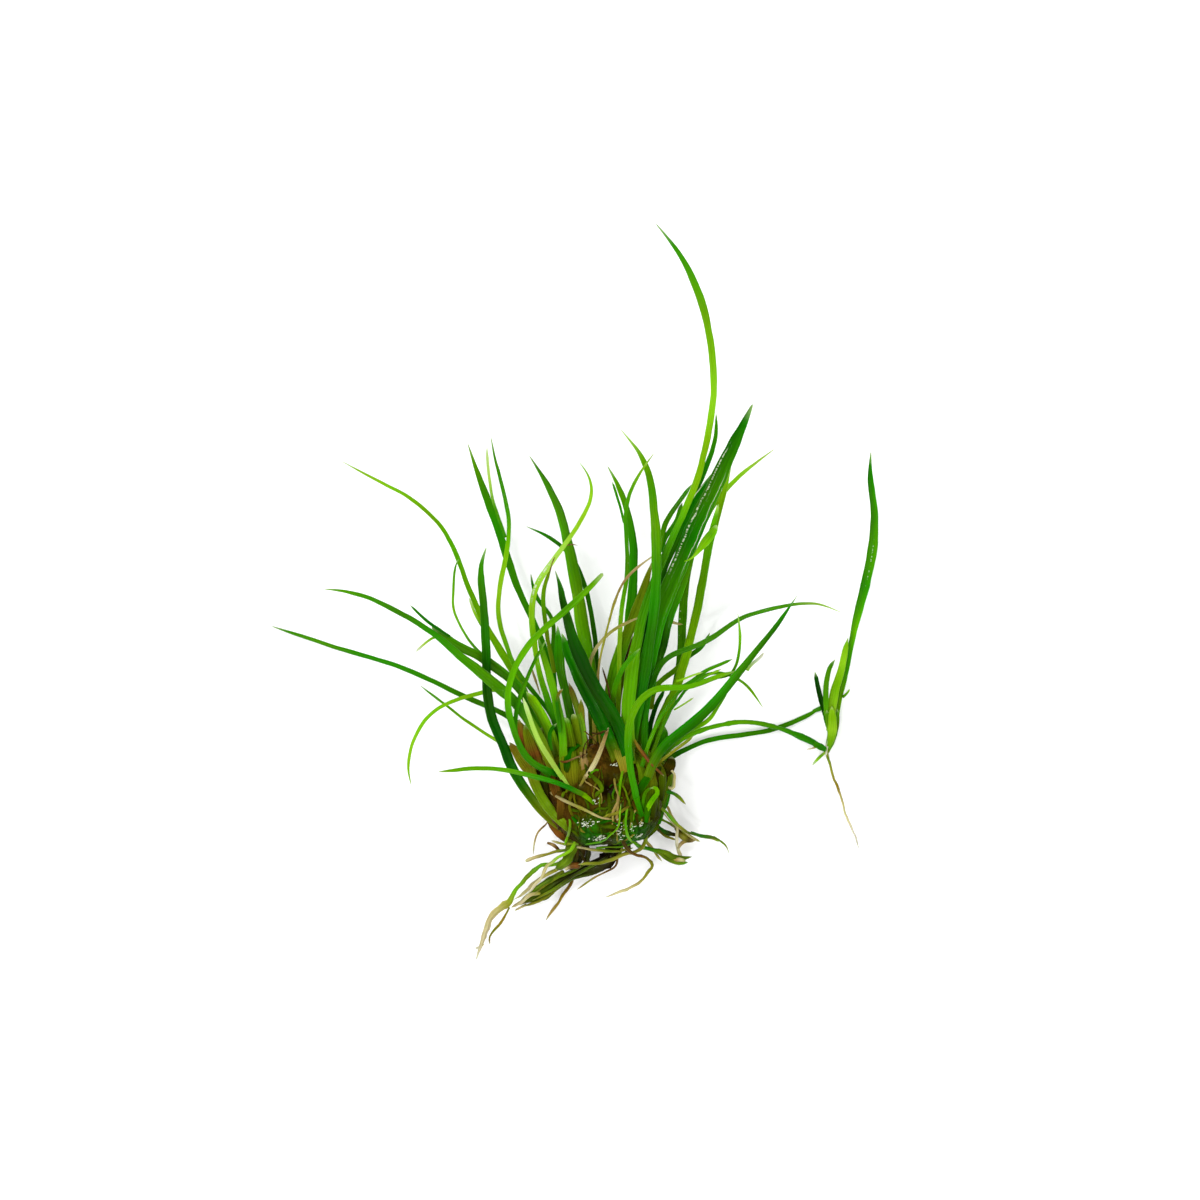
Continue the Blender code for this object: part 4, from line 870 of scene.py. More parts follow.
# Small leaves that share a mesh: the mesh's name, its skin and its leaves
smallLeaves = {
    "small_leaves_left": ("leaf_mid", {
        "hairBow": grown("13.5 10 8", "0.3 0.28", "grass bright grass",
            "-12.9 16, -13.75 16.8, -15.3 19.1, -16 20.7, -16.1 23.5, -15.8 26, -15.6 26.4"),
        "darkSpike": grown("15.9 18.4 19.5", "0.35 0.35 0.25", "leafGreen bottle leafGreen",
            "-16.5 18, -18.5 19.35, -19.7 20.4, -20.75 21.4"),
        "whiteSpur": grown("18 15.5", "0.3 0.28", "fresh bright pale whitish",
            "-17.4 18.05, -18.15 17.9, -19.1 17.3, -20.15 16.35"),
        "topSliver": grown("10.6 10.6", "0.35 0.3", "leafGreen grass pale mint",
            "-10.4 28.9, -11.1 31, -11.6 32.5, -12 34.3, -12.4 38, -12.4 38.7"),
        "oliveTwin": grown("10.8 9.3", "0.45 0.5 0.4", "moss moss fresh moss",
            "-5 14, -5.75 17.9, -6.15 20.6, -6.2 23, -5.35 25.6"),
        "darkTwin": grown("5 5", "0.5 0.5 0.4", "leafGreen bottle leafGreen bottle",
            "-4.8 8, -5.1 14, -5.2 16.7, -5.1 18.1, -5.45 20.2, -6 20.95, -6.9 22.2, -7.6 24.75"),
        "bladeHook": grown("15.6 13.5", "0.3 0.28", "fresh lime mint", "-13 19.2, -13.75 20.6, -14.35 22.2"),
        "brownTip": grown("18 18", "0.35 0.35", "leafGreen bottle bottle rust",
            "-4.4 7.5, -4.6 9.8, -4.45 11.8, -4.1 12.2"),
        "darkNub": grown("18 18", "0.4 0.4", "leafGreen bottle deep", "-5.35 5.5, -5.25 7.9, -4.8 8.4"),
    }),
    "small_leaves_right": ("leaf_mid", {
        "leanSliver": grown("11 9.8", "0.5 0.6 0.35", "bottle bottle leafGreen grass",
            "9 31, 11.35 35.8, 12 37.6, 12.7 39.9, 12.75 42.4"),
        "foldedEnd": grown("14.6 15.5", "0.15 0.25 0.6 0.95 0.95 0.7",
            "bright lime bright bright fresh bright",
            "9.3 26.25, 9.9 26.5, 10.75 27.3, 11.6 28.4, 12.4 29.5, 12.75 30.1", half=0.2, fold=0.35,
            blunt=True),
        "foldedTwin": grown("15.3 15", "0.5 0.6 0.5 0.3", "grass fresh fresh pale",
            "12.1 29, 12.45 30.4, 12.75 31.4, 12.95 32.4", half=-0.2),
        "besideBroad": grown("10 10.5", "0.7 0.8 0.9 0.8 0.5",
            "bottle leafGreen deep leafGreen grass grass leafGreen",
            "5.6 11.5, 6.2 14.6, 6.9 16.8, 7.7 20, 8.9 23.3, 10 26.6, 10.6 28.3", half=0.25),
        "midStrip": grown("13 13", "0.35 0.35", "olive khaki moss", "6.3 4, 8 5.3, 10.2 7"),
        "behindTall": grown("11.4 12", "0.5 0.6 0.45", "fresh grass leafGreen leafGreen",
            "5.9 25.6, 6.7 28.6, 7.1 30.15, 8 31.8, 9.3 33.6, 10 34.6"),
        "behindDark": grown("11.5 11.5", "0.55 0.5", "bottle leafGreen grass",
            "6.6 27.3, 7.2 28.9, 8.25 30.5, 9 32.6"),
        "shyTip": grown("6.1 6", "0.3 0.28", "grass leafGreen grass", "2.65 30.5, 2 33, 1.35 34.95"),
        "archTwin": grown("6 5.5", "0.6 0.6 0.45", "moss fresh fresh leafGreen leafGreen",
            "5.6 10, 6.3 12.6, 8.6 14.6, 9.9 15.9, 10.95 16.6, 12.05 18.3"),
        "underDark": grown("19.1 21.2", "0.5 0.5 0.3", "moss fresh bright fresh fresh",
            "8.4 6.9, 9.5 7.6, 10.8 8.1, 11.85 8.8, 12.75 10.1, 14.1 12.2"),
        "fanUpper": grown("22 22.5", "0.45 0.45 0.3", "leafGreen leafGreen grass grass",
            "8.6 12.3, 9.4 12.7, 10.3 13.3, 11.35 14.1, 12.8 14.8, 14.45 15.5"),
        "fanThread": grown("22.6 22.6", "0.25 0.2", "bright lime pale", "8.4 13.1, 9.2 13.4, 11.2 14.05"),
        "fanLower": grown("22.2 21.8", "0.3 0.25", "leafGreen grass lime", "10 12.7, 12.1 13.9, 13.2 14.4"),
        "tinySpark": grown("17.6 17.6", "0.2 0.18", "bright lime pale", "8.15 9.95, 9.4 10.7, 10.25 11.25"),
        "darkBaseA": grown("3 3", "0.6 0.5", "bottle deep bottle", "5 5, 5.5 8, 6.2 10.4, 7.1 12.1"),
        "darkBaseB": grown("4.8 5", "0.6 0.5", "bottle deep bottle", "6 5.5, 6.3 8, 7 10, 7.8 11.8"),
        "faintTip": grown("22 22", "0.4 0.3", "lime mint whitish ivory",
            "16.1 14.3, 16.6 14.9, 17.3 15.5, 17.9 16.2"),
    }),
    "small_leaves_plantlet": ("leaf_pale", {
        "sideSpark": grown("1 1.5", "0.35 0.2", "grass fresh lime", "26.75 11.3, 27.1 11.6, 27.5 12.15"),
        "whiteScale": grown("1.2 1", "0.18 0.3 0.25", "whitish ivory ivory whitish pale",
            "24.95 4.95, 25 5.7, 25.2 6.6, 25.25 7.3"),
        "heart": grown("0.9 2.3 2.9 3", "0.35 0.8 1 0.95 0.5", "fresh bright lime bright lime",
            "25.15 5.6, 25.5 6.8, 25.62 8, 25.6 9.2, 25.55 10.2"),
        "shortFoot": grown("1.6 3.3", "0.2 0.45 0.5", "bright fresh grass", "25.2 7.2, 25.1 8.3, 24.98 9.8"),
        "darkFoot": grown("1.8 0.9", "0.2 0.4 0.4", "leafGreen leafGreen bottle",
            "25.05 7.9, 24.9 8.8, 24.72 9.8"),
        "tallFoot": grown("0.55 1.9", "0.3 0.5 0.45", "fresh moss fresh fresh", "26 7, 26.17 8.3, 26.15 9.9"),
        "runnerJoin": grown("1.9 1.5", "0.55 0.75 0.5", "leafGreen bottle bottle",
            "23.6 6.15, 24.35 5.8, 24.98 5.45", blunt=True),
        "besideEnd": grown("0.1 0.3", "0.4 0.5 0.5", "grass leafGreen bottle",
            "23.5 9.7, 24.3 10.08, 24.85 10.3", blunt=True),
        "rootJoin": grown("0.1 0.1", "0.35 0.32 0.3", "moss khaki moss", "25.02 5.5, 25.02 5.1, 25.15 4.5",
            blunt=True),
        "budLeaf": grown("0.4 0.5", "0.3 0.35 0.2", "pale fresh lime whitish",
            "24.85 5.2, 24.3 4.75, 23.4 3.75"),
        "budHair": grown("1.3 0.5", "0.25 0.14", "gold cream ivory", "23.8 5.8, 23.4 5.65, 22.8 5.5"),
    }),
}

for name, (skin, parts) in smallLeaves.items():
    putPiece(name, growAll(parts, leafBlade, 0.3, 12), skins[skin], skin)
print("made the small leaves")


# Thin dead threads, a strip of painted shade, and small roots that share a mesh, in the same way
threadSets = {
    "dead_threads_and_shade": ("dry_leaf", {
        "redThread": grown("14 13", "0.15 0.18 0.12", "rust brown rust tan",
            "-5.5 25.2, -5.3 25.8, -4.6 27.3, -3.2 28.1, -2.5 28"),
        "darkCurl": grown("17 16", "0.2 0.22 0.15", "umber brown umber",
            "1.2 9.8, 1 11.9, 0.7 13.2, 0.25 14.6"),
        # brownSliver: a dark brown old leaf strip in the gap between two leaves, its darkness painted shade
        "brownSliver": grown("9.6 9.6", "0.4 0.42 0.25", "umber brown umber brown",
            "1.6 9, 2.2 14.3, 3 16.2, 3.6 18"),
        "footScrap": grown("6 6.8", "0.25 0.4 0.25", "brown tan brown umber",
            "-5.8 -4.75, -5 -5.1, -4.4 -5.8"),
        "knobScrap": grown("7 6", "0.5 0.9 0.6", "cream brown rust umber",
            "-3.85 -7.6, -3.3 -7.3, -2.7 -7.2, -2.2 -7.35"),
        "sideShred": grown("10.1 9.6", "0.25 0.35 0.15", "olive tan straw gold",
            "7.2 19.9, 8.1 19.5, 9.1 19.3"),
        "leafShred": grown("12 10.4", "0.2 0.25 0.15", "straw tan cream", "-7.5 14.4, -7 13, -6.6 11.6"),
        "crownDiagonal": grown("10 10", "0.25 0.4 0.3 0.2", "tan straw khaki straw tan",
            "-5.65 1, -3.8 -0.1, -1.75 -0.95, 0.1 -1.85, 1.6 -2.1", drape=0.4, tuck=0.6),
        "brownStrip": grown("17 19 18", "0.3 0.42 0.36 0.25", "moss gold rust rust brown",
            "3.3 7.3, 4.4 5.55, 5.3 4.4, 7 2.7", drape=0.8),
        "brownArc": grown("17 17", "0.18 0.26 0.15", "brown rust tan rust",
            "-4.8 4.5, -4 4.2, -2.8 4.6, -1.4 5.1", drape=1),
        "wireA": grown("20 19", "0.14 0.14", "umber umber brown", "-1.9 4.6, -1.6 6.2, -0.6 7.2, 0.7 7.7",
            drape=0.35),
        "wireB": grown("20 20", "0.14 0.12", "brown umber umber", "-1.7 7.6, -1 7, -0.2 6, 0.2 5.2",
            drape=0.4),
        "wireC": grown("19 20", "0.14 0.14", "umber brown umber", "-1.5 5.2, -1.3 6.3, -1.5 7.3", drape=0.3),
        "wireD": grown("20 20", "0.16 0.12", "umber umber", "-0.9 7.4, 0 7.3, 1 7.9", drape=0.4),
    }),
    "small_roots": ("root_cream", {
        "creamTwin": grown("4 1.6", "0.3 0.45 0.4 0.3", "khaki straw cream cream straw",
            "-6.6 -10.3, -7.1 -10.4, -7.8 -10.6, -8.5 -11.2, -9.3 -11.6, -9.75 -11.9"),
        "bundleFringe": grown("3.4 1.6", "0.45 0.6 0.5 0.3", "olive weed moss moss khaki",
            "-4 -7.9, -5.6 -8.9, -7 -9.8, -8.3 -10.9, -9.1 -11.6"),
        "creamFringe": grown("1.4 1.2", "0.25 0.3 0.2", "khaki cream straw",
            "-8.1 -11.6, -8.7 -11.9, -9.4 -12.25"),
        "tailTwin": grown("3.8 0.5", "0.25 0.3 0.2", "olive gold olive gold",
            "-10 -11.9, -10.3 -12.5, -11 -13.7, -11.8 -14.6, -12.2 -15.3, -12.15 -15.95"),
        "tailSpur": grown("0.5 0", "0.3 0.2", "cream ivory", "-12.9 -15.9, -13.2 -16.2, -13.75 -16.4"),
        "leftArm": grown("8 5", "0.35 0.33 0.33 0.45", "fresh moss khaki khaki straw cream",
            "-3 -5.3, -3.7 -5.5, -4.66 -5.62, -5.85 -6, -7.05 -6.3, -8.15 -6.75", blunt=True),
        "leftWisp": grown("9 3", "0.2 0.22 0.18", "tan brown tan tan cream ivory",
            "-5.6 -2.2, -6 -2.75, -6.75 -3.5, -7.1 -4.2, -7.3 -5.1, -7.37 -6.05"),
        "creamLoop": grown("13 11", "0.28 0.3 0.28", "cream straw straw cream straw",
            "7.85 3.25, 8.15 2.9, 8.15 2.1, 8 1.25, 7.5 1.45, 7.1 1.65"),
        "rightWeb": grown("5 4", "0.35 0.3 0.3", "weed mud olive khaki",
            "5.6 -2.6, 6.57 -3.5, 7.2 -4, 7.8 -4.2, 8.4 -4.45"),
        "webDark": grown("3.6 3.2", "0.6 0.6 0.3", "deep bottle bog mud",
            "6.2 -2.9, 7.2 -3.6, 8 -3.8, 8.6 -3.95"),
        "webWide": grown("3.8 3", "0.4 0.9 1 0.4", "olive mud khaki mud tan",
            "8.3 -3.1, 8.9 -3.8, 9.5 -4.2, 10.5 -4.45"),
        "webEdge": grown("3.4 3.4", "0.3 0.45 0.25", "cream tan khaki tan",
            "8.6 -5.4, 8.9 -4.95, 9.5 -4.6, 10.6 -4.5"),
        "upperFork": grown("4.6 3.9", "0.35 0.35 0.25", "moss khaki straw khaki",
            "9 -3.3, 9.7 -3.8, 10.3 -4.2, 11 -4.6"),
        "upperThick": grown("4.4 3.8", "0.3 0.5 0.45 0.3", "bottle leafGreen moss khaki lime",
            "10 -3.62, 11.2 -3.98, 12.2 -4.12, 13.2 -4.6"),
        "palePartner": grown("7 4.6", "0.12 0.15 0.12", "straw cream straw cream",
            "6.6 -0.9, 7.3 -1.9, 8.2 -2.8, 9.2 -3.45, 10.1 -4.15"),
        "webThread": grown("3.4 3", "0.2 0.2", "olive khaki tan", "5.8 -1.4, 7.2 -2.4, 8.4 -3.2"),
        "rightSpur": grown("8 5", "0.36 0.34 0.25", "moss khaki tan khaki cream",
            "4.6 -3.8, 5.3 -4.85, 5.85 -5.5, 6.26 -6.1, 6.8 -6.75"),
        "brownLow": grown("6 1", "0.24 0.2 0.2", "mud brown brown tan khaki tan",
            "1.9 -5.9, 1.87 -6.7, 1.7 -7.25, 0.88 -7.85, -0.44 -8.56, -1.76 -9.4, -2.55 -9.94"),
        "endTuft": grown("5.4 4.6", "0.3 0.4 0.25", "cream ivory cream", "7.8 -6.5, 8.5 -6.55, 9.2 -6.9"),
    }),
    "small_green_roots": ("root_green", {
        "leftStub": grown("10 8", "0.3 0.25", "moss khaki cream", "-3.4 -4.9, -4.2 -4.8, -5.3 -4.5"),
        "rightDark": grown("12 9", "0.45 0.45 0.28", "bottle leafGreen bottle moss khaki",
            "6.2 1.6, 7.2 0.95, 8 0.7, 8.7 0.28, 9.4 -0.45"),
        "rightThin": grown("6 4", "0.25 0.25 0.2", "moss moss bottle moss",
            "5.9 -1.7, 7 -2.3, 8.3 -2.9, 9.6 -3.7"),
        "underLong": grown("9.5 9", "0.3 0.32 0.3", "cream straw khaki moss khaki moss",
            "-2.55 -5.15, -1.36 -5.4, -0.44 -5.5, 0.88 -5.6, 2.2 -5.6, 3.6 -5.3"),
        "underUpper": grown("10 10", "0.25 0.25", "fresh moss fresh moss",
            "-0.4 -5.3, 0.9 -5.2, 2.2 -5.2, 3.3 -4.85, 4.2 -4.3"),
        "underSpur": grown("9 10", "0.3 0.25", "khaki moss khaki", "1.9 -6.2, 2.3 -5.8, 2.4 -5.3"),
        "lowerBranch": grown("7 4", "0.35 0.5 0.5 0.3", "moss weed moss fresh",
            "6.4 -5.8, 7.2 -6.35, 8.2 -6.8, 9 -6.95, 9.65 -6.9"),
        "lowerTuft": grown("5.5 5", "0.4 0.6 0.3", "khaki tan cream khaki", "7.9 -6.6, 8.7 -6.55, 9.4 -6.75"),
        "loopLong": grown("11 13 15", "0.22 0.2 0.2", "khaki fresh fresh bright lime",
            "-3.9 -4.85, -3.1 -4.8, -1.76 -4.8, -0.44 -4.66, 0.35 -4.47, 1.14 -3.8, 1.95 -3, 2.2 -1.8, "
            "2.3 -0.4", drape=0.3),
        "loopShort": grown("14 13 10", "0.25 0.28 0.3", "bright fresh bright fresh",
            "3.15 -0.3, 2.9 -1.5, 2.87 -3, 3.2 -4.2, 4.1 -4.9, 4.9 -5.3", drape=0.35),
        "leftStem": grown("13 10", "0.3 0.3", "fresh moss bright", "-3.4 -1.6, -3.3 -2.9, -3.5 -4, -3.9 -5",
            drape=0.25),
        "greenMass": grown("9 7", "0.9 1.2 1.1 0.5", "moss moss weed moss weed",
            "-2.4 -4, -3 -5.2, -3.4 -6.2, -4 -7, -4.9 -7.6", cords=0.3, twist=0.7),
        "massA": grown("7 5", "0.6 0.7 0.5", "soot umber soot bog", "-2.3 -4.4, -2 -5.6, -2.5 -7.2"),
        "massB": grown("6.5 5", "0.5 0.6 0.5", "umber soot bog soot", "-1.7 -4.5, -1.3 -5.6, -1.7 -7.2"),
        "massC": grown("8 5.5", "0.5 0.6 0.5", "bog umber bog soot", "-2.9 -4.6, -2.6 -6, -3.3 -7.8"),
        "massD": grown("7.6 6", "0.3 0.4 0.3", "weed bog umber", "-3.2 -4.6, -2.2 -5.8, -1.6 -7"),
        "massE": grown("6 5", "0.4 0.5 0.4", "soot umber soot", "2.2 -4.6, 2.3 -5.4, 1.5 -6.4"),
        "massF": grown("6 5", "0.4 0.4 0.3", "umber soot bog", "3 -4.5, 3.2 -5.3, 2.4 -6.2"),
        "bundleStrandA": grown("5.8 1.2", "0.35 0.35 0.25", "bog weed moss khaki straw",
            "-1.2 -6.6, -2.9 -7.75, -4.6 -8.5, -6.3 -9.6, -8 -10.9"),
        "bundleStrandB": grown("4.6 0.6", "0.4 0.4 0.3", "soot bog weed olive khaki",
            "1.6 -6.6, 0 -7.8, -2.6 -8.6, -4.6 -9.7, -6.6 -11.1, -8.4 -11.8"),
        "bundleStrandC": grown("6.2 1.8", "0.3 0.35 0.22", "bog weed bog moss khaki",
            "0.8 -6.3, -1.4 -7.6, -3.6 -8.8, -5.2 -9.9, -7.4 -11.1"),
    }),
}

for name, (skin, parts) in threadSets.items():
    putPiece(name, growAll(parts, roundStrand, 0.22, 8), skins[skin], skin)
print("made the threads and small roots")


# Sheaths at the foot of the leaves, laid one by one over the front of the clump
frontSheaths = {
    "outerLeft": grown("9 12", "1 1.7 1.5 0.8", "umber mud olive rust olive moss",
        "-5.4 0.4, -6.6 3, -7.6 6, -8.2 8.2", drape=-0.1, blunt=True, tuck=0.6),
    "innerLeft": grown("9 15", "0.9 1.5 1.6 1.1", "umber brown umber brown moss moss olive",
        "-4.4 -0.2, -5.1 2.6, -5.7 5.4, -6.2 8", drape=0, blunt=True, tuck=0.3),
    "wideGreen": grown("10 17", "1.2 1.9 1.9 1.3", "mud olive moss moss fresh",
        "-2.9 0.9, -3.3 3.2, -3.6 6, -3.9 9", drape=0.05, blunt=True, half=-0.25),
    "nextGreen": grown("10 16", "0.7 1.1 1.1 0.8", "mud olive moss moss",
        "-1.9 1.4, -2.1 3.6, -2.5 6.4, -2.9 9.4", drape=0, blunt=True, half=0.3),
    "yellowFoot": grown("10 14", "0.7 1.2 1.1 0.6", "gold khaki moss moss",
        "2.9 2.3, 2.5 4.2, 1.8 6.6, 1.2 9.4", drape=0.15),
    "strawFoot": grown("10 14", "0.6 1 0.9 0.6", "brown tan khaki khaki olive",
        "-1.7 2.6, -1.75 5.4, -2 8.2, -2.1 11", drape=0.12),
    "rightFoot": grown("10 14", "0.9 1.5 1.4 0.9", "mud bog bottle leafGreen bottle",
        "4.2 2, 4.5 5.2, 4.7 8.6, 5.1 11.2", drape=0),
    "rightDarkFoot": grown("9 10", "1.1 1.5 0.9", "umber bog bottle bottle leafGreen",
        "5.6 1.6, 6.4 4.6, 7.1 8", drape=0),
    "centreFoot": grown("9 10", "0.8 1.2 0.8", "umber mud moss fresh", "0.7 4.2, 0.4 6.6, 0.2 9.6",
        drape=-0.2),
    "lowLeft": grown("8 12", "0.5 0.9 0.7", "umber mud brown mud", "-4.4 -3.4, -4.3 -1.2, -4.4 1.4",
        drape=0.1, tuck=0.5),
    "curledGreen": grown("15 18 18 14", "0.45 0.55 0.5 0.4", "fresh bright fresh bright bright",
        "4.9 -1.5, 5.35 -0.6, 5.95 0.3, 6.3 0.85, 6.1 1.3, 5.6 1.35", drape=0.8, tuck=0.2),
    "curledBack": grown("14 17 14", "0.3 0.35 0.35", "leafGreen grass fresh",
        "4.55 -1, 4.75 0.1, 5.05 0.95, 5.6 1.35", drape=0.8, tuck=0.3),
    "roundKnob": grown("12 12", "0.9 1.35 1.3 0.8", "umber bog mud bog umber",
        "7.1 2.8, 7.5 3.4, 7.8 4.1, 7.9 4.7", blunt=True, fold=-0.3),
    "leftBrown": grown("12 14", "0.8 1.2 1.2 0.6", "umber brown olive brown",
        "-6.4 0.6, -7.6 3, -8.9 4.8, -9.9 6.3"),
    "leftWeb": grown("10 11", "0.9 1.3 1.3 0.7", "umber brown mud rust olive",
        "-7 2.6, -7.9 4.6, -8.6 6.4, -8.9 8.8"),
    "leftLow": grown("8 8", "0.5 1.1 1.1 0.6", "mud rust brown umber",
        "-3.6 -4.6, -4.4 -3.7, -5.1 -2.7, -5.8 -1.6", fold=-0.3),
    "rightLow": grown("8 9", "0.7 1.3 1.3 0.8", "bog weed bog bottle", "4.9 -4.2, 5.7 -3, 6.2 -1.6, 6.5 -0.4",
        fold=-0.3),
    "rightBump": grown("9 10", "0.9 1.4 1.3 0.8", "bog bottle leafGreen bog mud",
        "6.2 -1.8, 6.9 -0.3, 7.2 1.1, 7.4 2.6", fold=-0.3),
    "paleFoot": grown("19 19", "0.12 0.4 0.52", "lime pale pale", "-3.1 1.2, -3.7 1.9, -4.6 3.3", drape=0.8,
        tuck=0.8),
    "threadFoot": grown("18 18", "0.3 0.48 0.52", "grass bright fresh", "-0.5 -0.6, -1.1 0.15, -2.3 0.95",
        drape=0.45, tuck=0.8),
    "archFoot": grown("18 18", "0.4 0.62 0.68", "bottle leafGreen grass", "4.9 -2.2, 4.4 -1, 3.85 0.9",
        drape=0.5, tuck=0.8),
    "darkFoot": grown("18 18", "0.6 0.85 0.95", "bog bottle leafGreen", "4 0.4, 4.6 1.5, 5.5 3.2", drape=0.45,
        tuck=0.8),
    "stickFoot": grown("19 19", "0.2 0.32 0.36", "tan khaki straw", "-2.4 1.3, -1.95 2, -1.4 3", drape=0.45,
        tuck=0.8),
    "brightFoot": grown("12 14", "0.2 0.28 0.2", "moss fresh lime", "2.1 -0.2, 2.2 1.6, 2.6 3.8", drape=0.3,
        tuck=0.4),
    "smallArch": grown("18 19 18", "0.22 0.26 0.22", "leafGreen grass fresh grass",
        "-1.1 1.8, -1.08 2.8, -0.7 3.3, -0.15 3.35, 0.2 2.9", drape=0.3, tuck=0.8),
}


# Old roots and fibres pressed on the clump's front: x and y ranges of their upper ends, length and slant
footFibres = dict(
    name="fibre", count=52, keep=0.5, seed=21, widest=0.50, thinnest=0.12, lift=0.07, left=-6.0, right=6.6,
    low=0.0, high=5.5, shortest=4.0, longest=8.0, slant=(-98, -82), toneSets=[
        "mud olive moss olive", "brown mud olive mud", "weed leafGreen moss", "bog weed bog",
        "umber mud brown", "khaki tan khaki", "moss bog moss weed", "olive mud bog"])
wetTangle = dict(
    name="tangle", count=110, keep=4.0, seed=34, widest=0.42, thinnest=0.12, lift=0.16, left=-3.8, right=6.2,
    low=-4.6, high=-0.6, shortest=1.4, longest=4.2, slant=(-75, 45), toneSets=[
        "pool bottle pool", "bottle leafGreen bottle", "bog weed bog", "deep weed deep",
        "umber mud umber", "soot bog soot", "weed moss weed", "mud khaki mud", "bottle fresh bottle"])


def makeFibres(look):
    random = np.random.default_rng(look["seed"])
    parts = []
    for i in range(look["count"]):
        x, y = random.uniform(look["left"], look["right"]), random.uniform(look["low"], look["high"])
        length = random.uniform(look["shortest"], look["longest"])
        turn = math.radians(random.uniform(*look["slant"]))
        bend = random.normal(0, 0.12 * length, 2)
        route = [(x + length * share * math.cos(turn) - bow * math.sin(turn) - 0.12 * x * share * length / 4,
                  y + length * share * math.sin(turn) + bow * math.cos(turn))
                 for share, bow in ((0, 0), (0.33, bend[0]), (0.67, bend[1]), (1, 0))]
        width = look["thinnest"] + (look["widest"] - look["thinnest"]) * random.uniform() ** 1.6
        if crownTop(np.array(route)).min() < look["keep"]:  # it would stick out past the clump
            continue
        tones = look["toneSets"][random.integers(len(look["toneSets"]))]
        parts.append(roundStrand(dict(
            name=look["name"] + str(i), route=route, layers=(6, 5), widths=(0.7 * width, width, 0.8 * width),
            tones=tones, drape=random.uniform(-0.25, look["lift"]), ripple=0.16, wave=4.5, tuck=0.7, fade=0),
            0.25, 8))
    return parts


# Drops of water on the clump, whitish as painted glints: x, y, spread across and along, and number of each
# cluster
waterDropGlints = dict(seed=5, smallest=0.022, largest=0.06, slant=28, lift=0.26, clusters=[
    (-1.4, -2.5, 1.0, 0.5, 34), (-3.7, -4.05, 0.3, 0.2, 9), (0.0, -4.2, 1.3, 0.35, 30),
    (2.3, -3.4, 0.7, 1.0, 30),
    (4.1, -4.0, 0.6, 0.3, 13), (4.5, -2.6, 0.5, 0.4, 9), (1.6, 3.9, 0.5, 0.25, 9), (5.5, -1.3, 0.3, 0.3, 6),
    (7.0, 0.9, 0.5, 0.7, 9), (-0.4, -0.2, 0.5, 0.4, 7), (-2.1, 4.5, 0.2, 0.6, 5), (3.5, -3.0, 0.4, 0.5, 9)])


def makeDrops(look, sides=6, rings=5):
    # tiny lens-shaped drops, whitish as painted glints: rings of points from one pole to the other,
    # wider than high, each turned its way
    random = np.random.default_rng(look["seed"])
    places = np.concatenate([random.normal((x, y), (acrossIt / 2, alongIt / 2), (count, 2))
                             for x, y, acrossIt, alongIt, count in look["clusters"]])
    places = places[crownTop(places) > 2]
    count = len(places)
    size = random.uniform(look["smallest"], look["largest"], count)
    long, turn = random.uniform(1.5, 4.5, count), np.radians(random.normal(look["slant"], 25, count))
    polar, around = np.meshgrid(np.linspace(0, math.pi, rings + 2)[1:-1], turnsOf(sides), indexing="ij")
    ball = np.concatenate([np.stack([np.sin(polar) * np.cos(around), np.sin(polar) * np.sin(around),
                                     np.cos(polar)], -1).reshape(-1, 3), [(0, 0, 1), (0, 0, -1)]])
    local = ball[None] * size[:, None, None] * np.stack([long, 1 + 0 * long, 0.6 + 0 * long], 1)[:, None]
    cosine, sine = np.cos(turn)[:, None], np.sin(turn)[:, None]
    turned = np.stack([local[..., 0] * cosine - local[..., 1] * sine,
                       local[..., 0] * sine + local[..., 1] * cosine, local[..., 2]], -1)
    points = (turned + np.column_stack([places, crownTop(places) + look["lift"]])[:, None]).reshape(-1, 3)
    step = (np.arange(count) * len(ball))[:, None, None]
    quads, tris = [(faces[None] + step).reshape(-1, faces.shape[1]) for faces in closedRings(rings, sides)]
    # the whitish tint is a painted highlight
    return dict(points=points, quads=quads, tris=tris, tint=np.tile(paintOf("whitish"), (len(points), 1)),
                place=points, across=0 * points[:, 0])


# Old leaf feet all round the clump
sheathRing = dict(
    count=22,
    seed=12,
    begin=128,         # degrees round the clump, and how far they reach from there
    reach=284,
    rows=40,
    sides=12,
    thick=0.45,
    inset=0.94,        # where their middle lies, as a share of the clump
    curl=0.25,         # how far their edges bend in to the clump
    greener=["bottle weed moss olive", "deep bottle bog moss", "umber bog weed moss", "bog weed olive moss",
             "deep bog bottle leafGreen"],
    browner=["umber mud olive moss", "soot bog brown mud", "umber bog weed moss", "brown mud olive moss",
             "soot bog bottle leafGreen"],
)


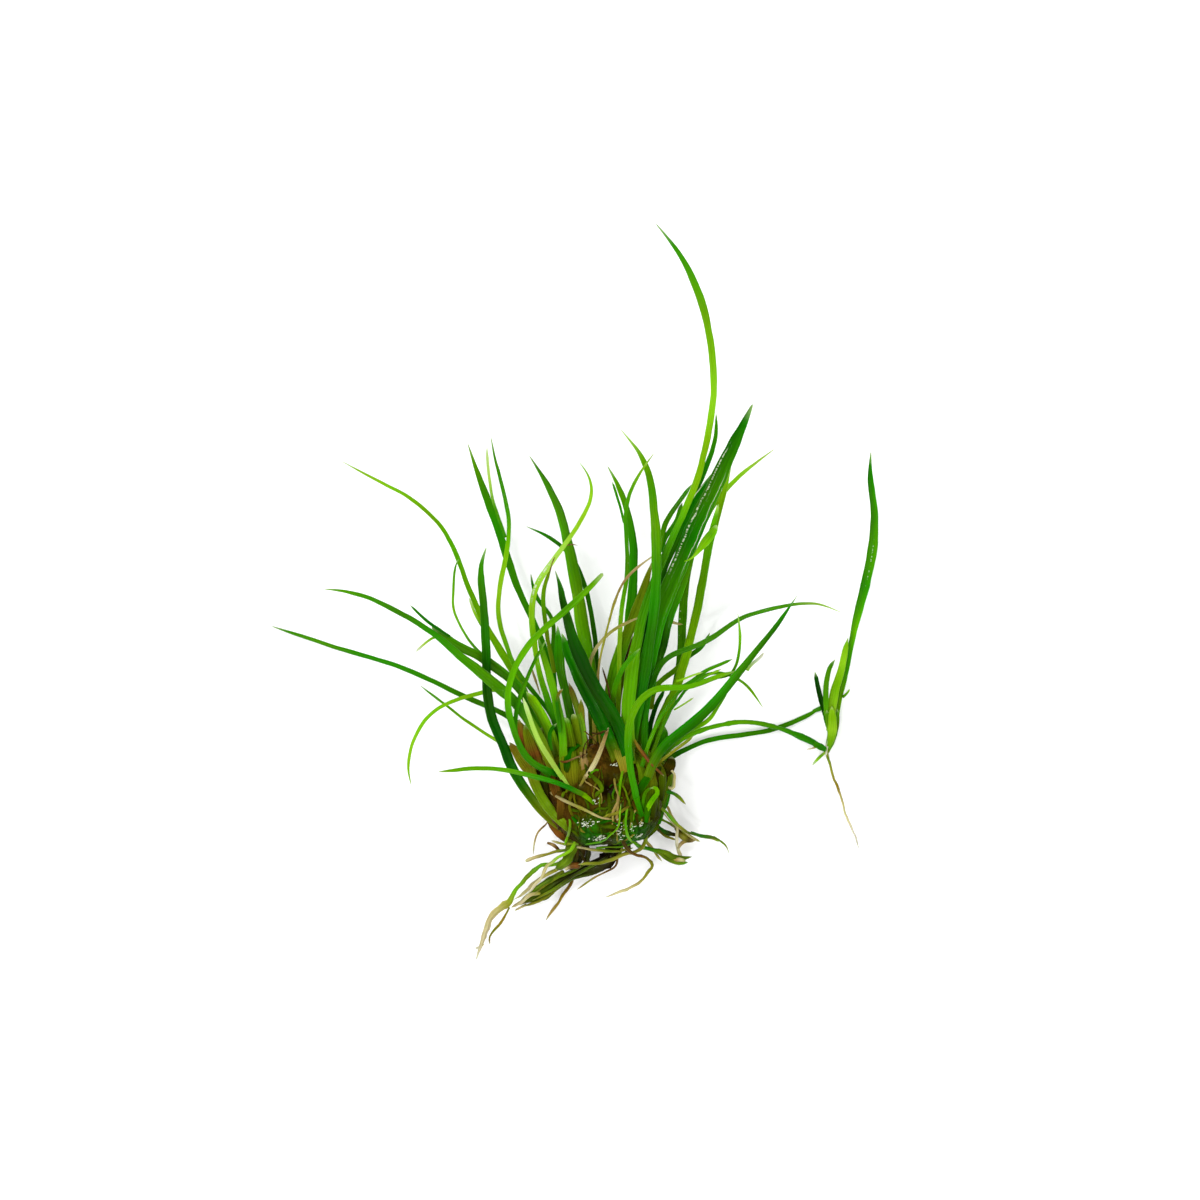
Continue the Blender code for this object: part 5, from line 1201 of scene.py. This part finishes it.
def makeSheaths(look):
    # strips along the clump's surface from the roots to past its leaf end
    random = np.random.default_rng(look["seed"])
    parts, angle, share = [], turnsOf(look["sides"]), np.linspace(0, 1, look["rows"])
    for i in range(look["count"]):
        place = (i + random.uniform(-0.3, 0.3)) / (look["count"] - 1)
        turn = math.radians(look["begin"] + look["reach"] * place)
        front = math.sin(turn) > 0.1 or math.cos(turn) > 0.9  # these feet start higher, over the wet part
        first = random.uniform(-0.55, 0.1) if front else -0.85
        rise = np.linspace(first, 0.98 + random.uniform(0, 0.1), look["rows"])
        flare = np.sqrt(np.clip(1 - np.abs(rise) ** 2.5, 0.05, 1)) ** 0.8
        ring = np.stack([np.cos(turn) * flare, rise, np.sin(turn) * flare], -1)
        path = crownPoint(crownRadius(unit(ring))[:, None] * unit(ring), look["inset"])
        path[:, 2] = np.maximum(path[:, 2], 0.35)
        widths = (0.35, random.uniform(1.2, 2.0), random.uniform(1.5, 2.3), random.uniform(1.1, 1.7), 0.7)
        width, thick = spread(widths, share), np.full(look["rows"], look["thick"])
        forward = unit(np.gradient(path, axis=0))
        side = unit(np.cross(forward, unit(ring * (1, 0, 1))))
        up = np.cross(side, forward)
        across = 0.5 * width[:, None] * np.cos(angle)[None]
        lift = 0.5 * thick[:, None] * np.sin(angle)[None] - look["curl"] * across**2
        tones = random.choice(look["greener"] if math.cos(turn) > 0.3 else look["browner"])
        tint = np.repeat(tintAlong(dict(tones=tones), share)[:, None], look["sides"], axis=1)
        shape = sweep(path, side, up, across, lift)
        parts.append(gather(*shape, tint, np.cos(angle), share, 12.0, width, thick, 50 + i))
    return parts


# The soot patch at 0.9, 1.3 is painted shade: the dark inside the hole at the top of the clump.
crownSpots = [  # x, y, radius, tone and strength of each patch on the front of the clump
    (-0.1, 6.4, 1.9, "rust", 0.9), (0.1, 5.6, 1.3, "umber", 0.9), (-0.3, 4.0, 1.2, "brown", 0.9),
    (0.9, 1.3, 1.5, "soot", 1.0), (-3.6, 4.2, 2.0, "moss", 0.9), (-4.4, -2.2, 1.7, "brown", 0.9),
    (-1.2, -3.2, 1.7, "bottle", 0.8), (-1.6, -0.6, 1.5, "mud", 0.9), (4.4, -2.8, 2.4, "pool", 0.9),
    (5.4, 2.8, 1.7, "umber", 0.9), (3.8, 5.2, 1.6, "weed", 0.8), (2.0, -1.6, 1.4, "bog", 0.9),
    (-1.4, 1.6, 1.2, "mud", 0.8), (7.9, 4.4, 1.1, "mud", 1.0), (-6.4, 3.6, 1.4, "brown", 0.8),
    (1.2, -3.8, 1.1, "bog", 0.9), (6.6, 0.2, 1.2, "weed", 0.8), (-3.2, -4.4, 1.2, "bog", 0.9),
    (-5.0, -0.4, 1.5, "umber", 0.9), (4.6, -0.4, 1.8, "weed", 0.9), (5.8, -1.6, 1.2, "bog", 0.9),
    (-0.8, -4.6, 1.2, "pool", 0.8), (3.2, -4.8, 1.4, "bottle", 0.9),
]


def blended(tint, tone, amount):
    return tint * (1 - amount[:, None]) + paintOf(tone) * amount[:, None]


def makeClump():
    # the clump's core: the solid crown's own shape, a little smaller, with finer lumps and painted patches,
    # one of them painted shade in a hole
    rise = np.linspace(-math.pi / 2, math.pi / 2, crown["along"] + 1)[1:-1]
    turn, rise = np.meshgrid(turnsOf(crown["around"]), rise)
    ring = np.stack([np.cos(rise) * np.cos(turn), np.sin(rise), np.cos(rise) * np.sin(turn)], -1)
    directions = np.concatenate([ring.reshape(-1, 3), [(0, -1, 0), (0, 1, 0)]])
    radius = crownRadius(directions)
    rough = crownPoint(directions * radius[:, None], crown["core"])
    lumps = sum(height * lumpy(rough, seed, size) for height, seed, size in crown["fineLumps"])
    points = crownPoint(directions * (radius * (1 + lumps))[:, None], crown["core"])
    points[:, 2] = np.maximum(points[:, 2], 0.0)
    quads, tris = closedRings(crown["along"] - 1, crown["around"])
    tint = blended(paintOf("mud"), "bog", np.clip(0.5 + 0.5 * lumpy(points, 8, 4.5), 0, 1))
    tint = blended(tint, "weed", np.clip(lumpy(points, 9, 3.2), 0, 1) * 0.8)
    front = np.clip((points[:, 2] - 3) / 2, 0, 1)
    for x, y, size, tone, strength in crownSpots:
        away = ((points[:, 0] - x) ** 2 + (points[:, 1] - y) ** 2) / size**2
        tint = blended(tint, tone, strength * front * np.exp(-away**1.5))
    return dict(points=points, quads=quads, tris=tris, tint=tint, place=points, across=0 * points[:, 0])


def makeWetSkin(name, look):
    # the clump's surface: the wet group on its own tint, under a clear wet coat
    made, tree, shader = newMaterial(name)
    tint = addNode(tree, "ShaderNodeAttribute", attribute_name="tint").outputs["Color"]
    position = addNode(tree, "ShaderNodeTexCoord").outputs["Object"]
    marks = addNode(tree, "ShaderNodeGroup", {
        "Tint": tint, "Position": position, "Stain Colour": (*paintOf(look["stain"]), 1),
        "Stain Amount": look["stainAmount"], "Base Roughness": look["rough"]}, node_tree=wetGroup).outputs
    finishSkin(tree, shader, marks, marks["Color"], look)
    fill(tree, shader, {"Coat Weight": marks["Gloss"]})
    return made


clumpSkin = makeWetSkin("clumpSkin", dict(stain="umber", stainAmount=0.6, rough=0.30, bump=1.0, relief=0.22,
                                          coat=0.0, coatRough=0.04, shine=0.01, shineTint=(0.5, 0.7, 0.05)))
# the drops' whitish paint under a clear coat: painted glints on water
dropGlintSkin = makeSkin("dropGlintSkin", scarTone="whitish", scars=0.9, rough=0.12, veinStrength=0.0, coat=1.0,
                    coatRough=0.02, bump=0.0, shine=0.5, shineTint=(1.0, 1.0, 1.0))
sheathSkin = makeSkin("sheathSkin", scarTone="umber", scars=0.8, streaks=1.0, veinStrength=0.3, veins=6.0,
                      bump=0.7, relief=0.09, coat=0.0, coatRough=0.07, shine=0.008,
                      shineTint=(0.6, 0.7, 0.05))
tangleSkin = makeSkin("tangleSkin", scarTone="mud", scars=0.5, streaks=1.0, bump=0.8, relief=0.08, coat=0.01,
                      coatRough=0.06, shine=0.015)

putPiece("crown_core", [makeClump()], clumpSkin, "crown", "crown")
putPiece("crown_front_sheaths", growAll(frontSheaths, leafBlade, 0.25, 16), sheathSkin, "crown")
putPiece("crown_ring_sheaths", makeSheaths(sheathRing), sheathSkin, "crown")
putPiece("crown_fibres", makeFibres(footFibres), sheathSkin, "crown")
putPiece("crown_tangle", makeFibres(wetTangle), tangleSkin, "crown")
putPiece("crown_drop_glints", [makeDrops(waterDropGlints)], dropGlintSkin, "crown")
print("made the crown")


# Floor, light and camera
shot = dict(
    frameWidth=132.0,       # millimetres of the object across the picture
    middle=(0.0, 22.0),     # what the camera looks at
    subjectHeight=6.0,      # the frame's width holds at this height over the floor
    distance=2000.0,
    sensor=36.0,
    clip=(0.1, 20),         # metres
)
room = dict(
    floorHalf=4.0,          # metres
    floorTop=-0.00002,      # just under zero, so that nothing flickers
    floorGrey=0.80,
    floorRough=0.7,
    floorGlow=0.25,
    ambient=0.34,           # the sky's light on things, and how bright it is seen
    seen=1.0,
)
softboxes = [  # name, direction towards the light, edge length in metres, watts
    ("keyBox", (-0.55, 0.45, 0.90), 1.5, 62),
    ("fillBox", (0.75, -0.10, 0.85), 1.8, 32),
    ("footBox", (-0.15, -0.75, 0.85), 1.8, 28),
    ("sparkle", (-0.18, -0.34, 1.0), 0.14, 9),
]
lightDistance = 2.6

grey = (room["floorGrey"],) * 3 + (1,)
floorWhite, tree, shader = newMaterial("floorWhite")
fill(tree, shader, {"Base Color": grey, "Roughness": room["floorRough"], "Emission Color": grey,
                    "Emission Strength": room["floorGlow"]})
floorMesh = bpy.data.meshes.new("floor")
floorMesh.from_pydata([(x * room["floorHalf"], y * room["floorHalf"], room["floorTop"])
                       for x, y in ((-1, -1), (1, -1), (1, 1), (-1, 1))], [], [(0, 1, 2, 3)])
floorMesh.materials.append(floorWhite)
floor = putObject("floor", floorMesh)

for name, direction, size, power in softboxes:
    towards = unit(np.array(direction))
    light = bpy.data.lights.new(name, "AREA")
    light.size, light.energy = size, power
    box = putObject(name, light)
    box.location = towards * lightDistance
    box.rotation_euler = (0, math.acos(towards[2]), math.atan2(towards[1], towards[0]))

world = bpy.data.worlds.new("studio")
bpy.context.scene.world = world
world.use_nodes = True
sky = world.node_tree
sky.nodes.clear()
ambient, seen = [addNode(sky, "ShaderNodeBackground", {
    "Color": (1, 1, 1, 1), "Strength": room[key]}).outputs[0] for key in ("ambient", "seen")]
rays = addNode(sky, "ShaderNodeLightPath").outputs["Is Camera Ray"]
either = addNode(sky, "ShaderNodeMixShader", {0: rays, 1: ambient, 2: seen}).outputs[0]
addNode(sky, "ShaderNodeOutputWorld", {0: either})

camera = bpy.data.cameras.new("above")
camera.sensor_width = shot["sensor"]
camera.lens = shot["sensor"] * shot["distance"] / shot["frameWidth"]
camera.clip_start, camera.clip_end = shot["clip"]
eye = putObject("above", camera)
eye.location = [mm * at for at in (*shot["middle"], shot["distance"] + shot["subjectHeight"])]
bpy.context.scene.camera = eye

look = bpy.context.scene.view_settings
look.view_transform, look.look = "Standard", "None"
look.exposure, look.gamma = 0.0, 1.0
print("floor, light and camera ready")
